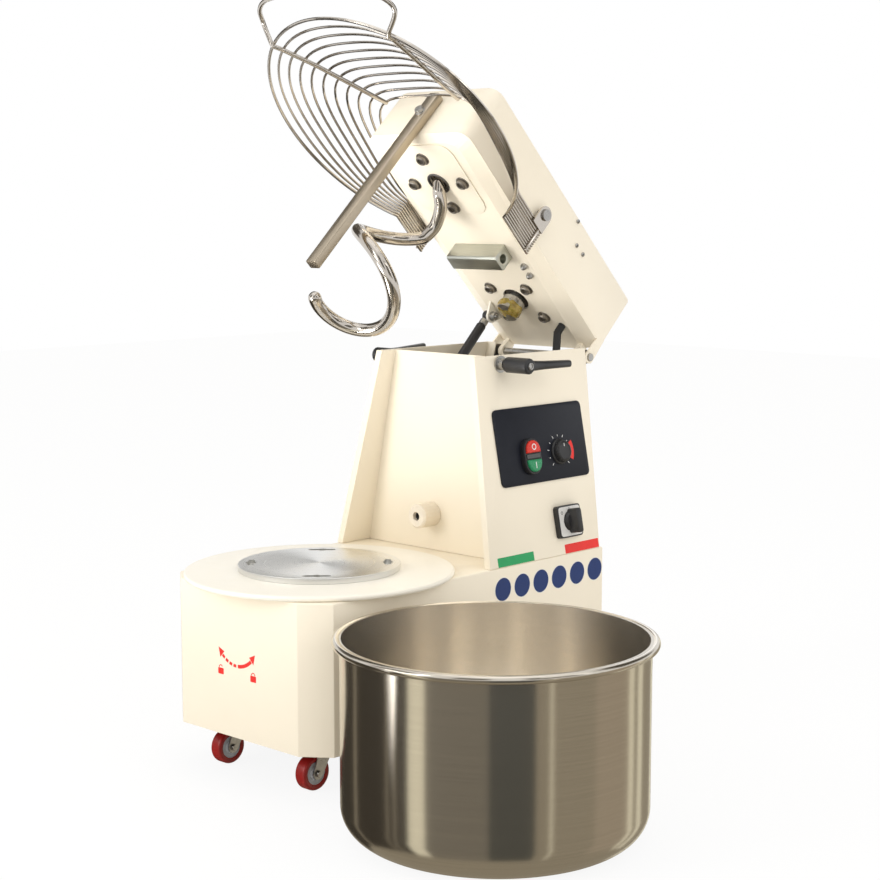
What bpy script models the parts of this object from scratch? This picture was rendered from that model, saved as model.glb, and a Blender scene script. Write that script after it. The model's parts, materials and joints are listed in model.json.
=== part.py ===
"""Spiral dough mixer with a tilting head and a removable bowl, modelled piece by piece.

All heights are measured from the floor. The world origin is the centre of the bowl seat,
the top of the turning bowl plate: +X is the control side, -Y the front and +Z up.
The head is modelled as it lies when lowered and is then raised about its hinge.
"""

import math

import bmesh
import bpy
from mathutils import Matrix, Vector

MM = 0.001

# Fits
CLEARANCE = 0.3 * MM
SHEET = 3 * MM

# Base
BASE_HALF_WIDTH = 165 * MM
BASE_FRONT_HALF_WIDTH = 125 * MM
BASE_FRONT_Y = -158 * MM
BASE_FACET_DEPTH = 31 * MM
BASE_REAR_Y = 456 * MM
BASE_BOTTOM = 66 * MM
BASE_HEIGHT = 215 * MM
BASE_EDGE = 1.5 * MM
CHASSIS_THICKNESS = 4 * MM
DISC_RADIUS = 198 * MM
DISC_THICKNESS = 8 * MM
BASE_TOP = BASE_BOTTOM + BASE_HEIGHT

# Bowl drive
PLATE_RADIUS = 119 * MM
PLATE_THICKNESS = 8.5 * MM
KEYHOLE_RING = 100 * MM
KEYHOLE_RADIUS = 8 * MM
KEYHOLE_SLOT = 5 * MM
KEYHOLE_DEPTH = 6.8 * MM
KEYHOLE_TURN = 12
KEYHOLES = 4
BOWL_SHAFT_RADIUS = 20 * MM
BOWL_SHAFT_LENGTH = 140 * MM
BOWL_BEARING_RADIUS = 46 * MM
BOWL_FLANGE_RADIUS = 78 * MM
BOWL_FLANGE_THICKNESS = 10 * MM
BOWL_SPROCKET_RADIUS = 72 * MM
BOWL_SPROCKET_TEETH = 14
BOWL_CHAIN_HEIGHT = 180 * MM
SPROCKET_WIDTH = 6 * MM
TOOTH_HEIGHT = 5 * MM
CHAIN_WIDTH = 9 * MM
CHAIN_THICKNESS = 5 * MM
PLATE_TOP = BASE_TOP + DISC_THICKNESS + PLATE_THICKNESS + 2 * CLEARANCE

# Bowl
BOWL_RADIUS = 200 * MM
BOWL_WALL = 2 * MM
BOWL_HEIGHT = 265 * MM
BOWL_CORNER = 45 * MM
BOWL_BEAD = 5.25 * MM
BOWL_SEAT_MARGIN = 2 * MM
BOWL_SEAT_DEPTH = 7 * MM
BOWL_X = 400 * MM
BOWL_Y = -61 * MM
STUD_LENGTH = 6 * MM
STUD_RADIUS = 3.5 * MM
STUD_HEAD = 6.5 * MM
LOCK_RING_WIDTH = 24 * MM
LOCK_RING_THICKNESS = 2 * MM

# Column
COLUMN_TOP_HALF_WIDTH = 104 * MM
COLUMN_TOP = 591 * MM
CHEEK_FRONT_BOTTOM = 191 * MM
CHEEK_FRONT_TOP = 221 * MM
CHEEK_RETURN = 12 * MM
COLUMN_PANEL_Y = 251 * MM
COLUMN_REAR_BOTTOM = 448 * MM
COLUMN_REAR_TOP = 482 * MM
REAR_FLANGE = 20 * MM
REAR_LOUVRES = 6
BUMPER_X = -12 * MM
BUMPER_Z = 338 * MM
BUMPER_RADIUS = 19 * MM
BUMPER_LENGTH = 36 * MM
BUMPER_SOCKET = 7 * MM

# Head, in its own frame: along the arm from the hinge, and up
HINGE_Y = 493 * MM
HINGE_DROP = 15.5 * MM
HINGE_Z = COLUMN_TOP - HINGE_DROP
HEAD_RAISED = 46
PIN_RADIUS = 6 * MM
HEAD_HALF_WIDTH = 105 * MM
HEAD_REAR = -7 * MM
HEAD_FRONT = 453 * MM
HEAD_CORNER = 21 * MM
HEAD_BOTTOM = 20 * MM
HEAD_SEAM = 33 * MM
HEAD_TOP_REAR = 135 * MM
HEAD_TOP_FRONT = 131 * MM
HEAD_TOP_EDGE = 6 * MM
ARM_REAR_HALF_WIDTH = 73 * MM
ARM_FRONT_HALF_WIDTH = 84 * MM
ARM_WALL = 4 * MM
ARM_UPSTAND = 62 * MM
EAR_RADIUS = 10.5 * MM
LUG_X = 78 * MM
LUG_WIDTH = 8 * MM
BRACKET_X = 91 * MM
BRACKET_WIDTH = 9 * MM
BRACKET_DROP = 24.5 * MM
REAR_COVER_TOP = HINGE_Z - BRACKET_DROP - SHEET

# Spiral hook and its drive
SPIRAL_ALONG = 364 * MM
SPIRAL_RADIUS = 57 * MM
SPIRAL_BAR = 10 * MM
SPIRAL_START = -112
SPIRAL_SWEEP = -454
SPIRAL_TOP = -47 * MM
SPIRAL_DROP = 204 * MM
SPIRAL_SHAFT_RADIUS = 15 * MM
SPIRAL_SPROCKET_RADIUS = 56 * MM
SPIRAL_SPROCKET_TEETH = 12
HEAD_CHAIN_HEIGHT = 108 * MM
SPINDLE_HOUSING_RADIUS = 46 * MM
SPINDLE_HOUSING_TOP = 94 * MM
NOSE_PLATE_REAR = 300 * MM
NOSE_PLATE_FRONT = 440 * MM
NOSE_PLATE_HALF_WIDTH = 66 * MM
NOSE_PLATE_CORNER = 22 * MM
NOSE_PLATE_THICKNESS = 2 * MM
CLUTCH_ALONG = 107 * MM
CLUTCH_SHAFT_RADIUS = 12 * MM
CLUTCH_DOG_RADIUS = 19 * MM
CLUTCH_DOG_HEIGHT = 8 * MM
CLUTCH_BOTTOM = -10 * MM
CLUTCH_HOLE = 23 * MM
CLUTCH_HOUSING_RADIUS = 36 * MM
CLUTCH_SPROCKET_RADIUS = 28 * MM
CLUTCH_SPROCKET_TEETH = 6
CLUTCH_MEETING_GAP = 1 * MM

# Head clamp and breaker bar
BLOCK_HALF_LENGTH = 52 * MM
BLOCK_ALONG = 218 * MM
BLOCK_DEPTH = 29 * MM
BLOCK_BOTTOM = -11 * MM
CLAMP_HEIGHT = 2.5 * MM
CLAMP_STUD_RADIUS = 7 * MM
CLAMP_STUD_INNER = 58 * MM
CLAMP_HUB_RADIUS = 12 * MM
CLAMP_HUB_RIGHT = 12.44194 * MM
CLAMP_HUB_LEFT = 3.44194 * MM
CLAMP_HUB_LENGTH = 49 * MM
CLAMP_HUB_EDGE = 4 * MM
CLAMP_ARM_LENGTH = 100 * MM
CLAMP_ARM_ROOT = 17 * MM
CLAMP_ARM_TIP = 11 * MM
CLAMP_ARM_RISE_RIGHT = -2 * MM
CLAMP_ARM_RISE_LEFT = 8 * MM
BAR_TOP = 105 * MM
BAR_BOTTOM = -252 * MM
BAR_WIDTH = 20 * MM
BAR_DEPTH = 15 * MM

# Wire guard
GUARD_WIRES = 11
GUARD_WIRE_RADIUS = 2 * MM
GUARD_RING_RADIUS = 2.5 * MM
GUARD_FRONT_OUTER = 702 * MM
GUARD_FRONT_INNER = 484 * MM
GUARD_FRONT_LOW = -5 * MM
GUARD_FRONT_HIGH = 80 * MM
GUARD_COMB_X = 112 * MM
GUARD_COMB_FRONT = 312 * MM
GUARD_COMB_REAR = 235 * MM
GUARD_COMB_HIGH = 48 * MM
GUARD_ROD_RADIUS = 3.5 * MM
GUARD_ROD_OUTER_X = 120 * MM
GUARD_ROD_INNER_X = 75 * MM
GUARD_HANDLE_X = 136 * MM
GUARD_HANDLE_FRONT = 735 * MM
GUARD_HANDLE_HEIGHT = 13 * MM
GUARD_PIVOT_ALONG = 250 * MM
GUARD_PIVOT_HEIGHT = 66 * MM
GUARD_PIVOT_RADIUS = 5 * MM
GUARD_PIVOT_HEAD = 9 * MM
GUARD_PLATE_THICKNESS = 3 * MM

# Gas spring
SPRING_X = -68 * MM
SPRING_ALONG = 80 * MM
SPRING_HEIGHT = 5 * MM
SPRING_ANCHOR_Y = 280 * MM
SPRING_ANCHOR_DROP = 99.5 * MM
SPRING_ANCHOR_Z = HINGE_Z - SPRING_ANCHOR_DROP
SPRING_TUBE_RADIUS = 8 * MM
SPRING_TUBE_START = 20 * MM
SPRING_TUBE_END = 122 * MM
SPRING_ROD_RADIUS = 4 * MM
SPRING_ROD_LENGTH = 130 * MM
SPRING_EYE_RADIUS = 9 * MM
SPRING_EYE_WIDTH = 8 * MM
SPRING_PIN_RADIUS = 4 * MM

# Motor and main shaft
DRIVE_SHAFT_RADIUS = 12 * MM
DRIVE_SHAFT_BOTTOM = 150 * MM
DRIVE_SPROCKET_RADIUS = 30 * MM
DRIVE_SPROCKET_TEETH = 6
DRIVE_BEARING_DROP = 70.5 * MM
DRIVE_BEARING_Z = HINGE_Z - DRIVE_BEARING_DROP
DRIVE_BEARING_RADIUS = 26 * MM
DRIVE_BEARING_HEIGHT = 34 * MM
DRIVE_PLATE_FRONT = 38 * MM
DRIVE_PLATE_THICKNESS = 6 * MM
MOTOR_X = 96 * MM
MOTOR_Y = 312 * MM
MOTOR_RADIUS = 40 * MM
GEARCASE_BOTTOM = 318 * MM
GEARCASE_HEIGHT = 55 * MM
GEARCASE_MARGIN = 44 * MM

# Controls on the tilted cheek
PANEL_Y = 343.5 * MM
PANEL_Z = 453 * MM
PANEL_WIDTH = 207 * MM
PANEL_HEIGHT = 118 * MM
PANEL_CORNER = 8 * MM
PANEL_THICKNESS = 2.5 * MM
SWITCH_ACROSS = -35.5 * MM
SWITCH_UP = -17.5 * MM
SWITCH_WIDTH = 37 * MM
SWITCH_HEIGHT = 55 * MM
SWITCH_DEPTH = 9 * MM
SWITCH_FRAME = 3 * MM
LAMP_HEIGHT = 7 * MM
LAMP_RIB = 1.5 * MM
BUTTON_EDGE = 1.5 * MM
BUTTON_STAND = 4 * MM
BUTTON_TRAVEL = 3.5 * MM
TIMER_ACROSS = 37.5 * MM
TIMER_UP = -16.5 * MM
TIMER_RADIUS = 14 * MM
TIMER_HEIGHT = 16 * MM
SELECTOR_ACROSS = 33 * MM
SELECTOR_UP = -125 * MM
SELECTOR_WIDTH = 55 * MM
SELECTOR_HEIGHT = 50 * MM
SELECTOR_RADIUS = 15 * MM
CONTROL_BOX_DEPTH = 42 * MM
CONTROL_BOX_WIDTH = 170 * MM
CONTROL_BOX_HEIGHT = 96 * MM

# Wiring conduit from the column into the head
CONDUIT_RADIUS = 6.5 * MM
CONDUIT_X = 64 * MM
CONDUIT_ALONG = 50 * MM

# Casters
CASTER_FRONT_INSET = 73 * MM
CASTER_FRONT_X = BASE_HALF_WIDTH - CASTER_FRONT_INSET
CASTER_FRONT_Y = -84 * MM
CASTER_REAR_INSET = 37 * MM
CASTER_REAR_X = BASE_HALF_WIDTH - CASTER_REAR_INSET
CASTER_REAR_Y = 395 * MM
CASTER_TRAIL = 18 * MM
WHEEL_RADIUS = 25 * MM
WHEEL_WIDTH = 20 * MM
CASTER_STEM = 6 * MM
CASTER_BOSS = 21 * MM
CASTER_AXLE = 4 * MM
FORK_PLATE = 2.5 * MM


def clear_scene():
    for item in list(bpy.data.objects):
        bpy.data.objects.remove(item, do_unlink=True)


def finish_material(name, colour, roughness, metallic=0.0):
    """Make one plain surface finish."""
    finish = bpy.data.materials.new(name)
    finish.use_nodes = True
    shader = finish.node_tree.nodes["Principled BSDF"]
    shader.inputs["Base Color"].default_value = (*colour, 1.0)
    shader.inputs["Roughness"].default_value = roughness
    shader.inputs["Metallic"].default_value = metallic
    return finish


def add_empty(name, parent=None, location=(0, 0, 0), rotation=(0, 0, 0)):
    """Add a frame that other pieces hang from."""
    empty = bpy.data.objects.new(name, None)
    bpy.context.collection.objects.link(empty)
    empty.parent = parent
    empty.location = location
    empty.rotation_euler = rotation
    return empty


def add_piece(name, mesh, finish, parent, location=(0, 0, 0), rotation=(0, 0, 0), smooth=0):
    """Add one named piece; smooth is the largest angle in degrees that is shaded round."""
    piece = bpy.data.objects.new(name, mesh)
    bpy.context.collection.objects.link(piece)
    piece.parent = parent
    piece.location = location
    piece.rotation_euler = rotation
    mesh.materials.clear()
    mesh.materials.append(finish)
    if smooth:
        mesh.shade_smooth()
        mesh.set_sharp_from_angle(angle=math.radians(smooth))
    return piece


def mesh_of(shape):
    """Turn a bmesh into a mesh with its faces pointing outwards."""
    bmesh.ops.remove_doubles(shape, verts=shape.verts, dist=0.0001 * MM)
    bmesh.ops.recalc_face_normals(shape, faces=shape.faces)
    mesh = bpy.data.meshes.new("shape")
    shape.to_mesh(mesh)
    shape.free()
    return mesh


def loft(loops, ring=False):
    """Skin a row of equal loops; the two ends are capped unless the row closes on itself."""
    shape = bmesh.new()
    rows = [[shape.verts.new(point) for point in loop] for loop in loops]
    count = len(rows[0])
    pairs = list(zip(rows, rows[1:]))
    if ring:
        pairs.append((rows[-1], rows[0]))
    for low, high in pairs:
        for k in range(count):
            n = (k + 1) % count
            shape.faces.new((low[k], low[n], high[n], high[k]))
    if not ring:
        shape.faces.new(rows[0])
        shape.faces.new(rows[-1])
    return mesh_of(shape)


def lathe(profile, segments, ring=False):
    """Turn (radius, height) points about Z; ring profiles close on themselves."""
    loops = []
    for radius, height in profile:
        loop = []
        for k in range(segments):
            angle = 2 * math.pi * k / segments
            loop.append((radius * math.cos(angle), radius * math.sin(angle), height))
        loops.append(loop)
    return loft(loops, ring)


def prism(outline, low, high):
    """Extrude a flat outline of (x, y) points from one height to another."""
    return loft([[(x, y, z) for x, y in outline] for z in (low, high)])


def box(x0, x1, y0, y1, z0, z1):
    return prism([(x0, y0), (x1, y0), (x1, y1), (x0, y1)], z0, z1)


def cylinder(radius, low, high, segments=20):
    return lathe([(radius, low), (radius, high)], segments)


def moved(mesh, matrix):
    mesh.transform(matrix)
    if matrix.determinant() < 0:
        mesh.flip_normals()
    return mesh


def shifted(mesh, x=0.0, y=0.0, z=0.0):
    return moved(mesh, Matrix.Translation((x, y, z)))


def along_x(mesh):
    """Lay a piece that was made along Z along X."""
    return moved(mesh, Matrix.Rotation(math.pi / 2, 4, "Y"))


def along_y(mesh):
    """Lay a piece that was made along Z along -Y."""
    return moved(mesh, Matrix.Rotation(math.pi / 2, 4, "X"))


def combine(mesh, others, operation):
    """Join other solids to a solid, or cut them from it, with one exact Boolean each."""
    target = bpy.data.objects.new("target", mesh)
    bpy.context.collection.objects.link(target)
    tools = []
    for other in others:
        tool = bpy.data.objects.new("tool", other)
        bpy.context.collection.objects.link(tool)
        step = target.modifiers.new("step", "BOOLEAN")
        step.operation = operation
        step.solver = "EXACT"
        step.object = tool
        tools.append(tool)
    bpy.context.view_layer.update()
    result = bpy.data.meshes.new_from_object(target.evaluated_get(bpy.context.evaluated_depsgraph_get()))
    for item in [target] + tools:
        bpy.data.objects.remove(item, do_unlink=True)
    return result


def joined(mesh, *others):
    return combine(mesh, others, "UNION")


def without(mesh, *others):
    return combine(mesh, others, "DIFFERENCE")


def arc(centre_x, centre_y, radius, start, end, steps):
    """Points on an arc, with its ends, from angles in degrees."""
    points = []
    for k in range(steps + 1):
        angle = math.radians(start + (end - start) * k / steps)
        points.append((centre_x + radius * math.cos(angle), centre_y + radius * math.sin(angle)))
    return points


def rounded_rectangle(width, height, corner, steps=3):
    x = width / 2 - corner
    y = height / 2 - corner
    return (arc(x, y, corner, 0, 90, steps) + arc(-x, y, corner, 90, 180, steps)
            + arc(-x, -y, corner, 180, 270, steps) + arc(x, -y, corner, 270, 360, steps))


def side_slab(outline, x0, x1):
    """Extrude an outline of (y, z) points along X."""
    return loft([[(x, y, z) for y, z in outline] for x in (x0, x1)])


def tube(path, radius, sides):
    """Sweep a round bar along a path, with flat ends."""
    points = [Vector(point) for point in path]
    loops = []
    side = None
    for k, point in enumerate(points):
        back = points[max(k - 1, 0)]
        ahead = points[min(k + 1, len(points) - 1)]
        direction = (ahead - back).normalized()
        if side is None:
            side = direction.orthogonal().normalized()
        side = (side - direction * side.dot(direction)).normalized()
        other = direction.cross(side)
        loop = []
        for s in range(sides):
            angle = 2 * math.pi * s / sides
            loop.append(point + radius * (math.cos(angle) * side + math.sin(angle) * other))
        loops.append(loop)
    return loft(loops)


def smooth_path(points, steps):
    """Pass a Catmull-Rom curve through the points."""
    points = [Vector(point) for point in points]
    padded = [2 * points[0] - points[1]] + points + [2 * points[-1] - points[-2]]
    path = []
    for p0, p1, p2, p3 in zip(padded, padded[1:], padded[2:], padded[3:]):
        for k in range(steps):
            t = k / steps
            path.append(0.5 * (2 * p1 + (p2 - p0) * t + (2 * p0 - 5 * p1 + 4 * p2 - p3) * t ** 2
                               + (3 * p1 - p0 - 3 * p2 + p3) * t ** 3))
    path.append(points[-1])
    return path


def sprocket(radius, teeth, bore, low, high):
    """A chain wheel with blunt teeth and a round bore."""
    outline = []
    pitch = 2 * math.pi / teeth
    for k in range(teeth):
        for share, reach in ((0.0, TOOTH_HEIGHT), (0.5, TOOTH_HEIGHT), (0.65, 0.0), (0.85, 0.0)):
            angle = pitch * (k + share)
            outline.append(((radius - reach) * math.cos(angle), (radius - reach) * math.sin(angle)))
    wheel = prism(outline, low, high)
    if bore:
        wheel = without(wheel, cylinder(bore, low - SHEET, high + SHEET))
    return wheel


def chain_loop(distance, radius, far_radius, middle):
    """A closed chain round a wheel at the origin and a second one up the Y axis."""
    lean = math.degrees(math.asin((radius - far_radius) / distance))
    loops = []
    inner = 4 * CLEARANCE
    outer = inner + CHAIN_THICKNESS
    low = middle - CHAIN_WIDTH / 2
    high = middle + CHAIN_WIDTH / 2
    for gap, height in ((inner, low), (outer, low), (outer, high), (inner, high)):
        far = arc(0, distance, far_radius + gap, lean, 180 - lean, 6)
        near = arc(0, 0, radius + gap, 180 - lean, 360 + lean, 12)
        loops.append([(x, y, height) for x, y in far + near])
    return loft(loops, ring=True)


def base_outline(inset):
    half = BASE_HALF_WIDTH - inset
    front_half = BASE_FRONT_HALF_WIDTH - inset / 2
    front = BASE_FRONT_Y + inset
    facet = BASE_FRONT_Y + BASE_FACET_DEPTH + inset / 2
    rear = BASE_REAR_Y - inset
    return [(-front_half, front), (front_half, front), (half, facet), (half, rear), (-half, rear),
            (-half, facet)]


def at_height(outline, height):
    return [(x, y, height) for x, y in outline]


def caster_places():
    return {
        "front_left": (-CASTER_FRONT_X, CASTER_FRONT_Y),
        "front_right": (CASTER_FRONT_X, CASTER_FRONT_Y),
        "rear_left": (-CASTER_REAR_X, CASTER_REAR_Y),
        "rear_right": (CASTER_REAR_X, CASTER_REAR_Y),
    }


def chassis_plate():
    """Bottom plate with a swivel boss for each caster."""
    plate = prism(base_outline(SHEET + CLEARANCE), BASE_BOTTOM, BASE_BOTTOM + CHASSIS_THICKNESS)
    for x, y in caster_places().values():
        boss = cylinder(CASTER_BOSS, BASE_BOTTOM - CHASSIS_THICKNESS, BASE_BOTTOM + CHASSIS_THICKNESS / 2, 12)
        plate = joined(plate, shifted(boss, x, y))
        stem = cylinder(CASTER_STEM + CLEARANCE, 0, BASE_TOP, 24)
        plate = without(plate, shifted(stem, x, y))
    return plate


def base_housing():
    """Folded sheet box, open below, with the shaft hole and the way into the column."""
    shell = loft([
        at_height(base_outline(BASE_EDGE), BASE_TOP),
        at_height(base_outline(0), BASE_TOP - BASE_EDGE),
        at_height(base_outline(0), BASE_BOTTOM),
        at_height(base_outline(SHEET), BASE_BOTTOM),
        at_height(base_outline(SHEET), BASE_TOP - SHEET),
    ])
    shaft_hole = cylinder(BOWL_SHAFT_RADIUS + SHEET, BASE_BOTTOM, BASE_TOP + SHEET)
    half = BASE_HALF_WIDTH - REAR_FLANGE
    front = COLUMN_PANEL_Y + SHEET
    rear = COLUMN_REAR_BOTTOM - REAR_FLANGE
    column_way = box(-half, half, front + CHEEK_RETURN, rear, BASE_BOTTOM + SHEET, BASE_TOP + SHEET)
    return without(shell, shaft_hole, column_way)


def base_top_disc():
    """Round table under the bowl, with a rolled edge."""
    low = BASE_TOP + CLEARANCE
    high = low + DISC_THICKNESS
    middle = (low + high) / 2
    edge = arc(DISC_RADIUS - DISC_THICKNESS / 2, middle, DISC_THICKNESS / 2, -90, 90, 2)
    bore = BOWL_SHAFT_RADIUS + SHEET
    return lathe([(bore, low)] + edge + [(bore, high)], 48, ring=True)


def column_level(z):
    """Half-width, front edge and rear edge of the column at a height."""
    share = (z - BASE_TOP) / (COLUMN_TOP - BASE_TOP)
    half = BASE_HALF_WIDTH + share * (COLUMN_TOP_HALF_WIDTH - BASE_HALF_WIDTH)
    front = CHEEK_FRONT_BOTTOM + share * (CHEEK_FRONT_TOP - CHEEK_FRONT_BOTTOM)
    rear = COLUMN_REAR_BOTTOM + share * (COLUMN_REAR_TOP - COLUMN_REAR_BOTTOM)
    return half, front, rear


def column_outline(z):
    """One folded sheet in plan: two cheeks, a set-back front panel and rear flanges."""
    half, front, rear = column_level(z)
    inner = half - CHEEK_RETURN
    panel = COLUMN_PANEL_Y
    right = [(inner, panel), (inner, front), (half, front), (half, rear), (half - REAR_FLANGE, rear),
             (half - REAR_FLANGE, rear - SHEET), (half - SHEET, rear - SHEET), (half - SHEET, front + SHEET),
             (inner + SHEET, front + SHEET), (inner + SHEET, panel + SHEET)]
    left = [(-x, y) for x, y in reversed(right)]
    return right + left


def clamp_axis():
    """Where the clamp screws cross the column, as (y, z)."""
    return HINGE_Y - BLOCK_ALONG, HINGE_Z + CLAMP_HEIGHT


def column_housing():
    low = BASE_TOP + CLEARANCE
    shell = loft([at_height(column_outline(low), low), at_height(column_outline(COLUMN_TOP), COLUMN_TOP)])
    y, z = clamp_axis()
    reach = BASE_HALF_WIDTH
    screw_way = along_x(cylinder(CLAMP_STUD_RADIUS + CLEARANCE, -reach, reach, 24))
    return without(shell, shifted(screw_way, 0, y, z))


def column_rear_cover():
    """Screwed-on sheet over the open back, with louvres."""
    loops = []
    low = BASE_TOP + 2 * SHEET
    for z in (low, REAR_COVER_TOP):
        half, front, rear = column_level(z)
        half -= SHEET
        face = rear + CLEARANCE
        loops.append([(-half, face, z), (half, face, z), (half, face + SHEET, z), (-half, face + SHEET, z)])
    cover = loft(loops)
    slots = []
    for k in range(REAR_LOUVRES):
        z = low + (0.2 + 0.06 * k) * (REAR_COVER_TOP - low)
        slots.append(box(-60 * MM, 60 * MM, COLUMN_PANEL_Y, HINGE_Y + 40 * MM, z, z + 5 * MM))
    return without(cover, *slots)


def hinge_bracket(x):
    """Plate on the column's rear flange that carries the hinge pin."""
    low = HINGE_Z - BRACKET_DROP
    high = HINGE_Z + EAR_RADIUS + 1 * MM
    foot = [(column_level(high)[2] + CLEARANCE, high), (column_level(low)[2] + CLEARANCE, low)]
    nose = arc(HINGE_Y, HINGE_Z, EAR_RADIUS + 1 * MM, -50, 90, 6)
    plate = side_slab(foot + nose, x - BRACKET_WIDTH / 2, x + BRACKET_WIDTH / 2)
    pin_way = along_x(cylinder(PIN_RADIUS + CLEARANCE, -HEAD_HALF_WIDTH, HEAD_HALF_WIDTH))
    return without(plate, shifted(pin_way, 0, HINGE_Y, HINGE_Z))


def hinge_pin():
    reach = HEAD_HALF_WIDTH + SHEET
    return shifted(along_x(cylinder(PIN_RADIUS, -reach, reach)), 0, HINGE_Y, HINGE_Z)


def bowl_bumper():
    """Rubber buffer on the front panel, with its screw socket."""
    body = lathe([(BUMPER_RADIUS, 0), (BUMPER_RADIUS, BUMPER_LENGTH - 3 * MM),
                  (BUMPER_RADIUS - 3 * MM, BUMPER_LENGTH), (BUMPER_SOCKET, BUMPER_LENGTH),
                  (BUMPER_SOCKET, BUMPER_LENGTH / 2)], 20)
    return shifted(along_y(body), BUMPER_X, COLUMN_PANEL_Y - CLEARANCE, BUMPER_Z)


def bowl_plate():
    """Turning plate with keyholes for the bowl's studs, on its drive shaft."""
    low = PLATE_TOP - PLATE_THICKNESS
    edge = 1 * MM
    profile = [(BOWL_SHAFT_RADIUS, low - BOWL_SHAFT_LENGTH), (BOWL_SHAFT_RADIUS, low), (PLATE_RADIUS, low)]
    profile += [(PLATE_RADIUS, PLATE_TOP - edge), (PLATE_RADIUS - edge, PLATE_TOP)]
    plate = lathe(profile, 48)
    floor = PLATE_TOP - KEYHOLE_DEPTH
    above = PLATE_TOP + SHEET
    slot_length = KEYHOLE_RING * math.radians(KEYHOLE_TURN)
    for k in range(KEYHOLES):
        turn = Matrix.Rotation(2 * math.pi * (k + 0.5) / KEYHOLES, 4, "Z")
        hole = shifted(cylinder(KEYHOLE_RADIUS, floor, above, 12), KEYHOLE_RING)
        outline = rounded_rectangle(2 * KEYHOLE_SLOT, 2 * slot_length, KEYHOLE_SLOT, 2)
        slot = shifted(prism(outline, floor, above), KEYHOLE_RING)
        plate = without(plate, moved(hole, turn), moved(slot, turn))
    return plate


def bowl_bearing():
    """Flanged bearing under the table that carries the bowl shaft."""
    high = BASE_TOP - SHEET - CLEARANCE
    flange = high - BOWL_FLANGE_THICKNESS
    low = BOWL_CHAIN_HEIGHT + CHAIN_WIDTH
    bore = BOWL_SHAFT_RADIUS + CLEARANCE
    profile = [(bore, low), (BOWL_BEARING_RADIUS, low), (BOWL_BEARING_RADIUS, flange)]
    profile += [(BOWL_FLANGE_RADIUS, flange), (BOWL_FLANGE_RADIUS, high), (bore, high)]
    return lathe(profile, 20, ring=True)


def bowl_sprocket():
    low = BOWL_CHAIN_HEIGHT - SPROCKET_WIDTH / 2
    bore = BOWL_SHAFT_RADIUS + CLEARANCE
    return sprocket(BOWL_SPROCKET_RADIUS, BOWL_SPROCKET_TEETH, bore, low, low + SPROCKET_WIDTH)


def drive_y():
    return HINGE_Y - CLUTCH_ALONG


def clutch_dogs(low, high, turn):
    """Two facing jaws of a dog clutch."""
    jaws = []
    for side in (0, 180):
        middle = turn + side
        outline = (arc(0, 0, CLUTCH_DOG_RADIUS, middle - 40, middle + 40, 4)
                   + arc(0, 0, CLUTCH_DOG_RADIUS / 3, middle + 40, middle - 40, 3))
        jaws.append(prism(outline, low, high))
    return jaws


def drive_shaft():
    """Main shaft with the lower half of the clutch and the bowl chain's small wheel."""
    top = HINGE_Z + CLUTCH_BOTTOM - CLUTCH_MEETING_GAP
    hub_top = top - CLUTCH_DOG_HEIGHT
    hub_low = hub_top - 2 * CLUTCH_DOG_HEIGHT
    shaft = lathe([(DRIVE_SHAFT_RADIUS, DRIVE_SHAFT_BOTTOM), (DRIVE_SHAFT_RADIUS, hub_low),
                   (CLUTCH_DOG_RADIUS, hub_low), (CLUTCH_DOG_RADIUS, hub_top)], 16)
    low = BOWL_CHAIN_HEIGHT - SPROCKET_WIDTH / 2
    wheel = sprocket(DRIVE_SPROCKET_RADIUS, DRIVE_SPROCKET_TEETH, 0, low, low + SPROCKET_WIDTH)
    return joined(shaft, wheel, *clutch_dogs(hub_top - 1 * MM, top, 0))


def drive_bearing():
    """Cross plate between the cheeks with the main shaft's upper bearing."""
    high = DRIVE_BEARING_Z + DRIVE_PLATE_THICKNESS
    half = column_level(high)[0] - SHEET - CLEARANCE
    y = drive_y()
    plate = box(-half, half, y - DRIVE_PLATE_FRONT, y + DRIVE_BEARING_RADIUS, DRIVE_BEARING_Z, high)
    boss_low = (DRIVE_BEARING_Z + high - DRIVE_BEARING_HEIGHT) / 2
    boss = shifted(cylinder(DRIVE_BEARING_RADIUS, boss_low, boss_low + DRIVE_BEARING_HEIGHT), 0, y)
    bore = shifted(cylinder(DRIVE_SHAFT_RADIUS + CLEARANCE, BASE_TOP, COLUMN_TOP), 0, y)
    return without(joined(plate, boss), bore)


def gear_motor():
    """Motor standing on the chassis, with the gear case that turns the main shaft."""
    foot = BASE_BOTTOM + CHASSIS_THICKNESS + CLEARANCE
    top = GEARCASE_BOTTOM + GEARCASE_HEIGHT
    motor = lathe([(MOTOR_RADIUS, foot), (MOTOR_RADIUS, GEARCASE_BOTTOM + SHEET)], 24)
    case = box(-GEARCASE_MARGIN, MOTOR_X + MOTOR_RADIUS, MOTOR_Y - MOTOR_RADIUS, drive_y() + GEARCASE_MARGIN,
               GEARCASE_BOTTOM, top)
    bore = cylinder(DRIVE_SHAFT_RADIUS + CLEARANCE, GEARCASE_BOTTOM - SHEET, top + SHEET)
    bore = shifted(bore, 0, drive_y())
    return without(joined(shifted(motor, MOTOR_X, MOTOR_Y), case), bore)


def bowl_chain():
    return chain_loop(drive_y(), BOWL_SPROCKET_RADIUS, DRIVE_SPROCKET_RADIUS, BOWL_CHAIN_HEIGHT)


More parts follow.
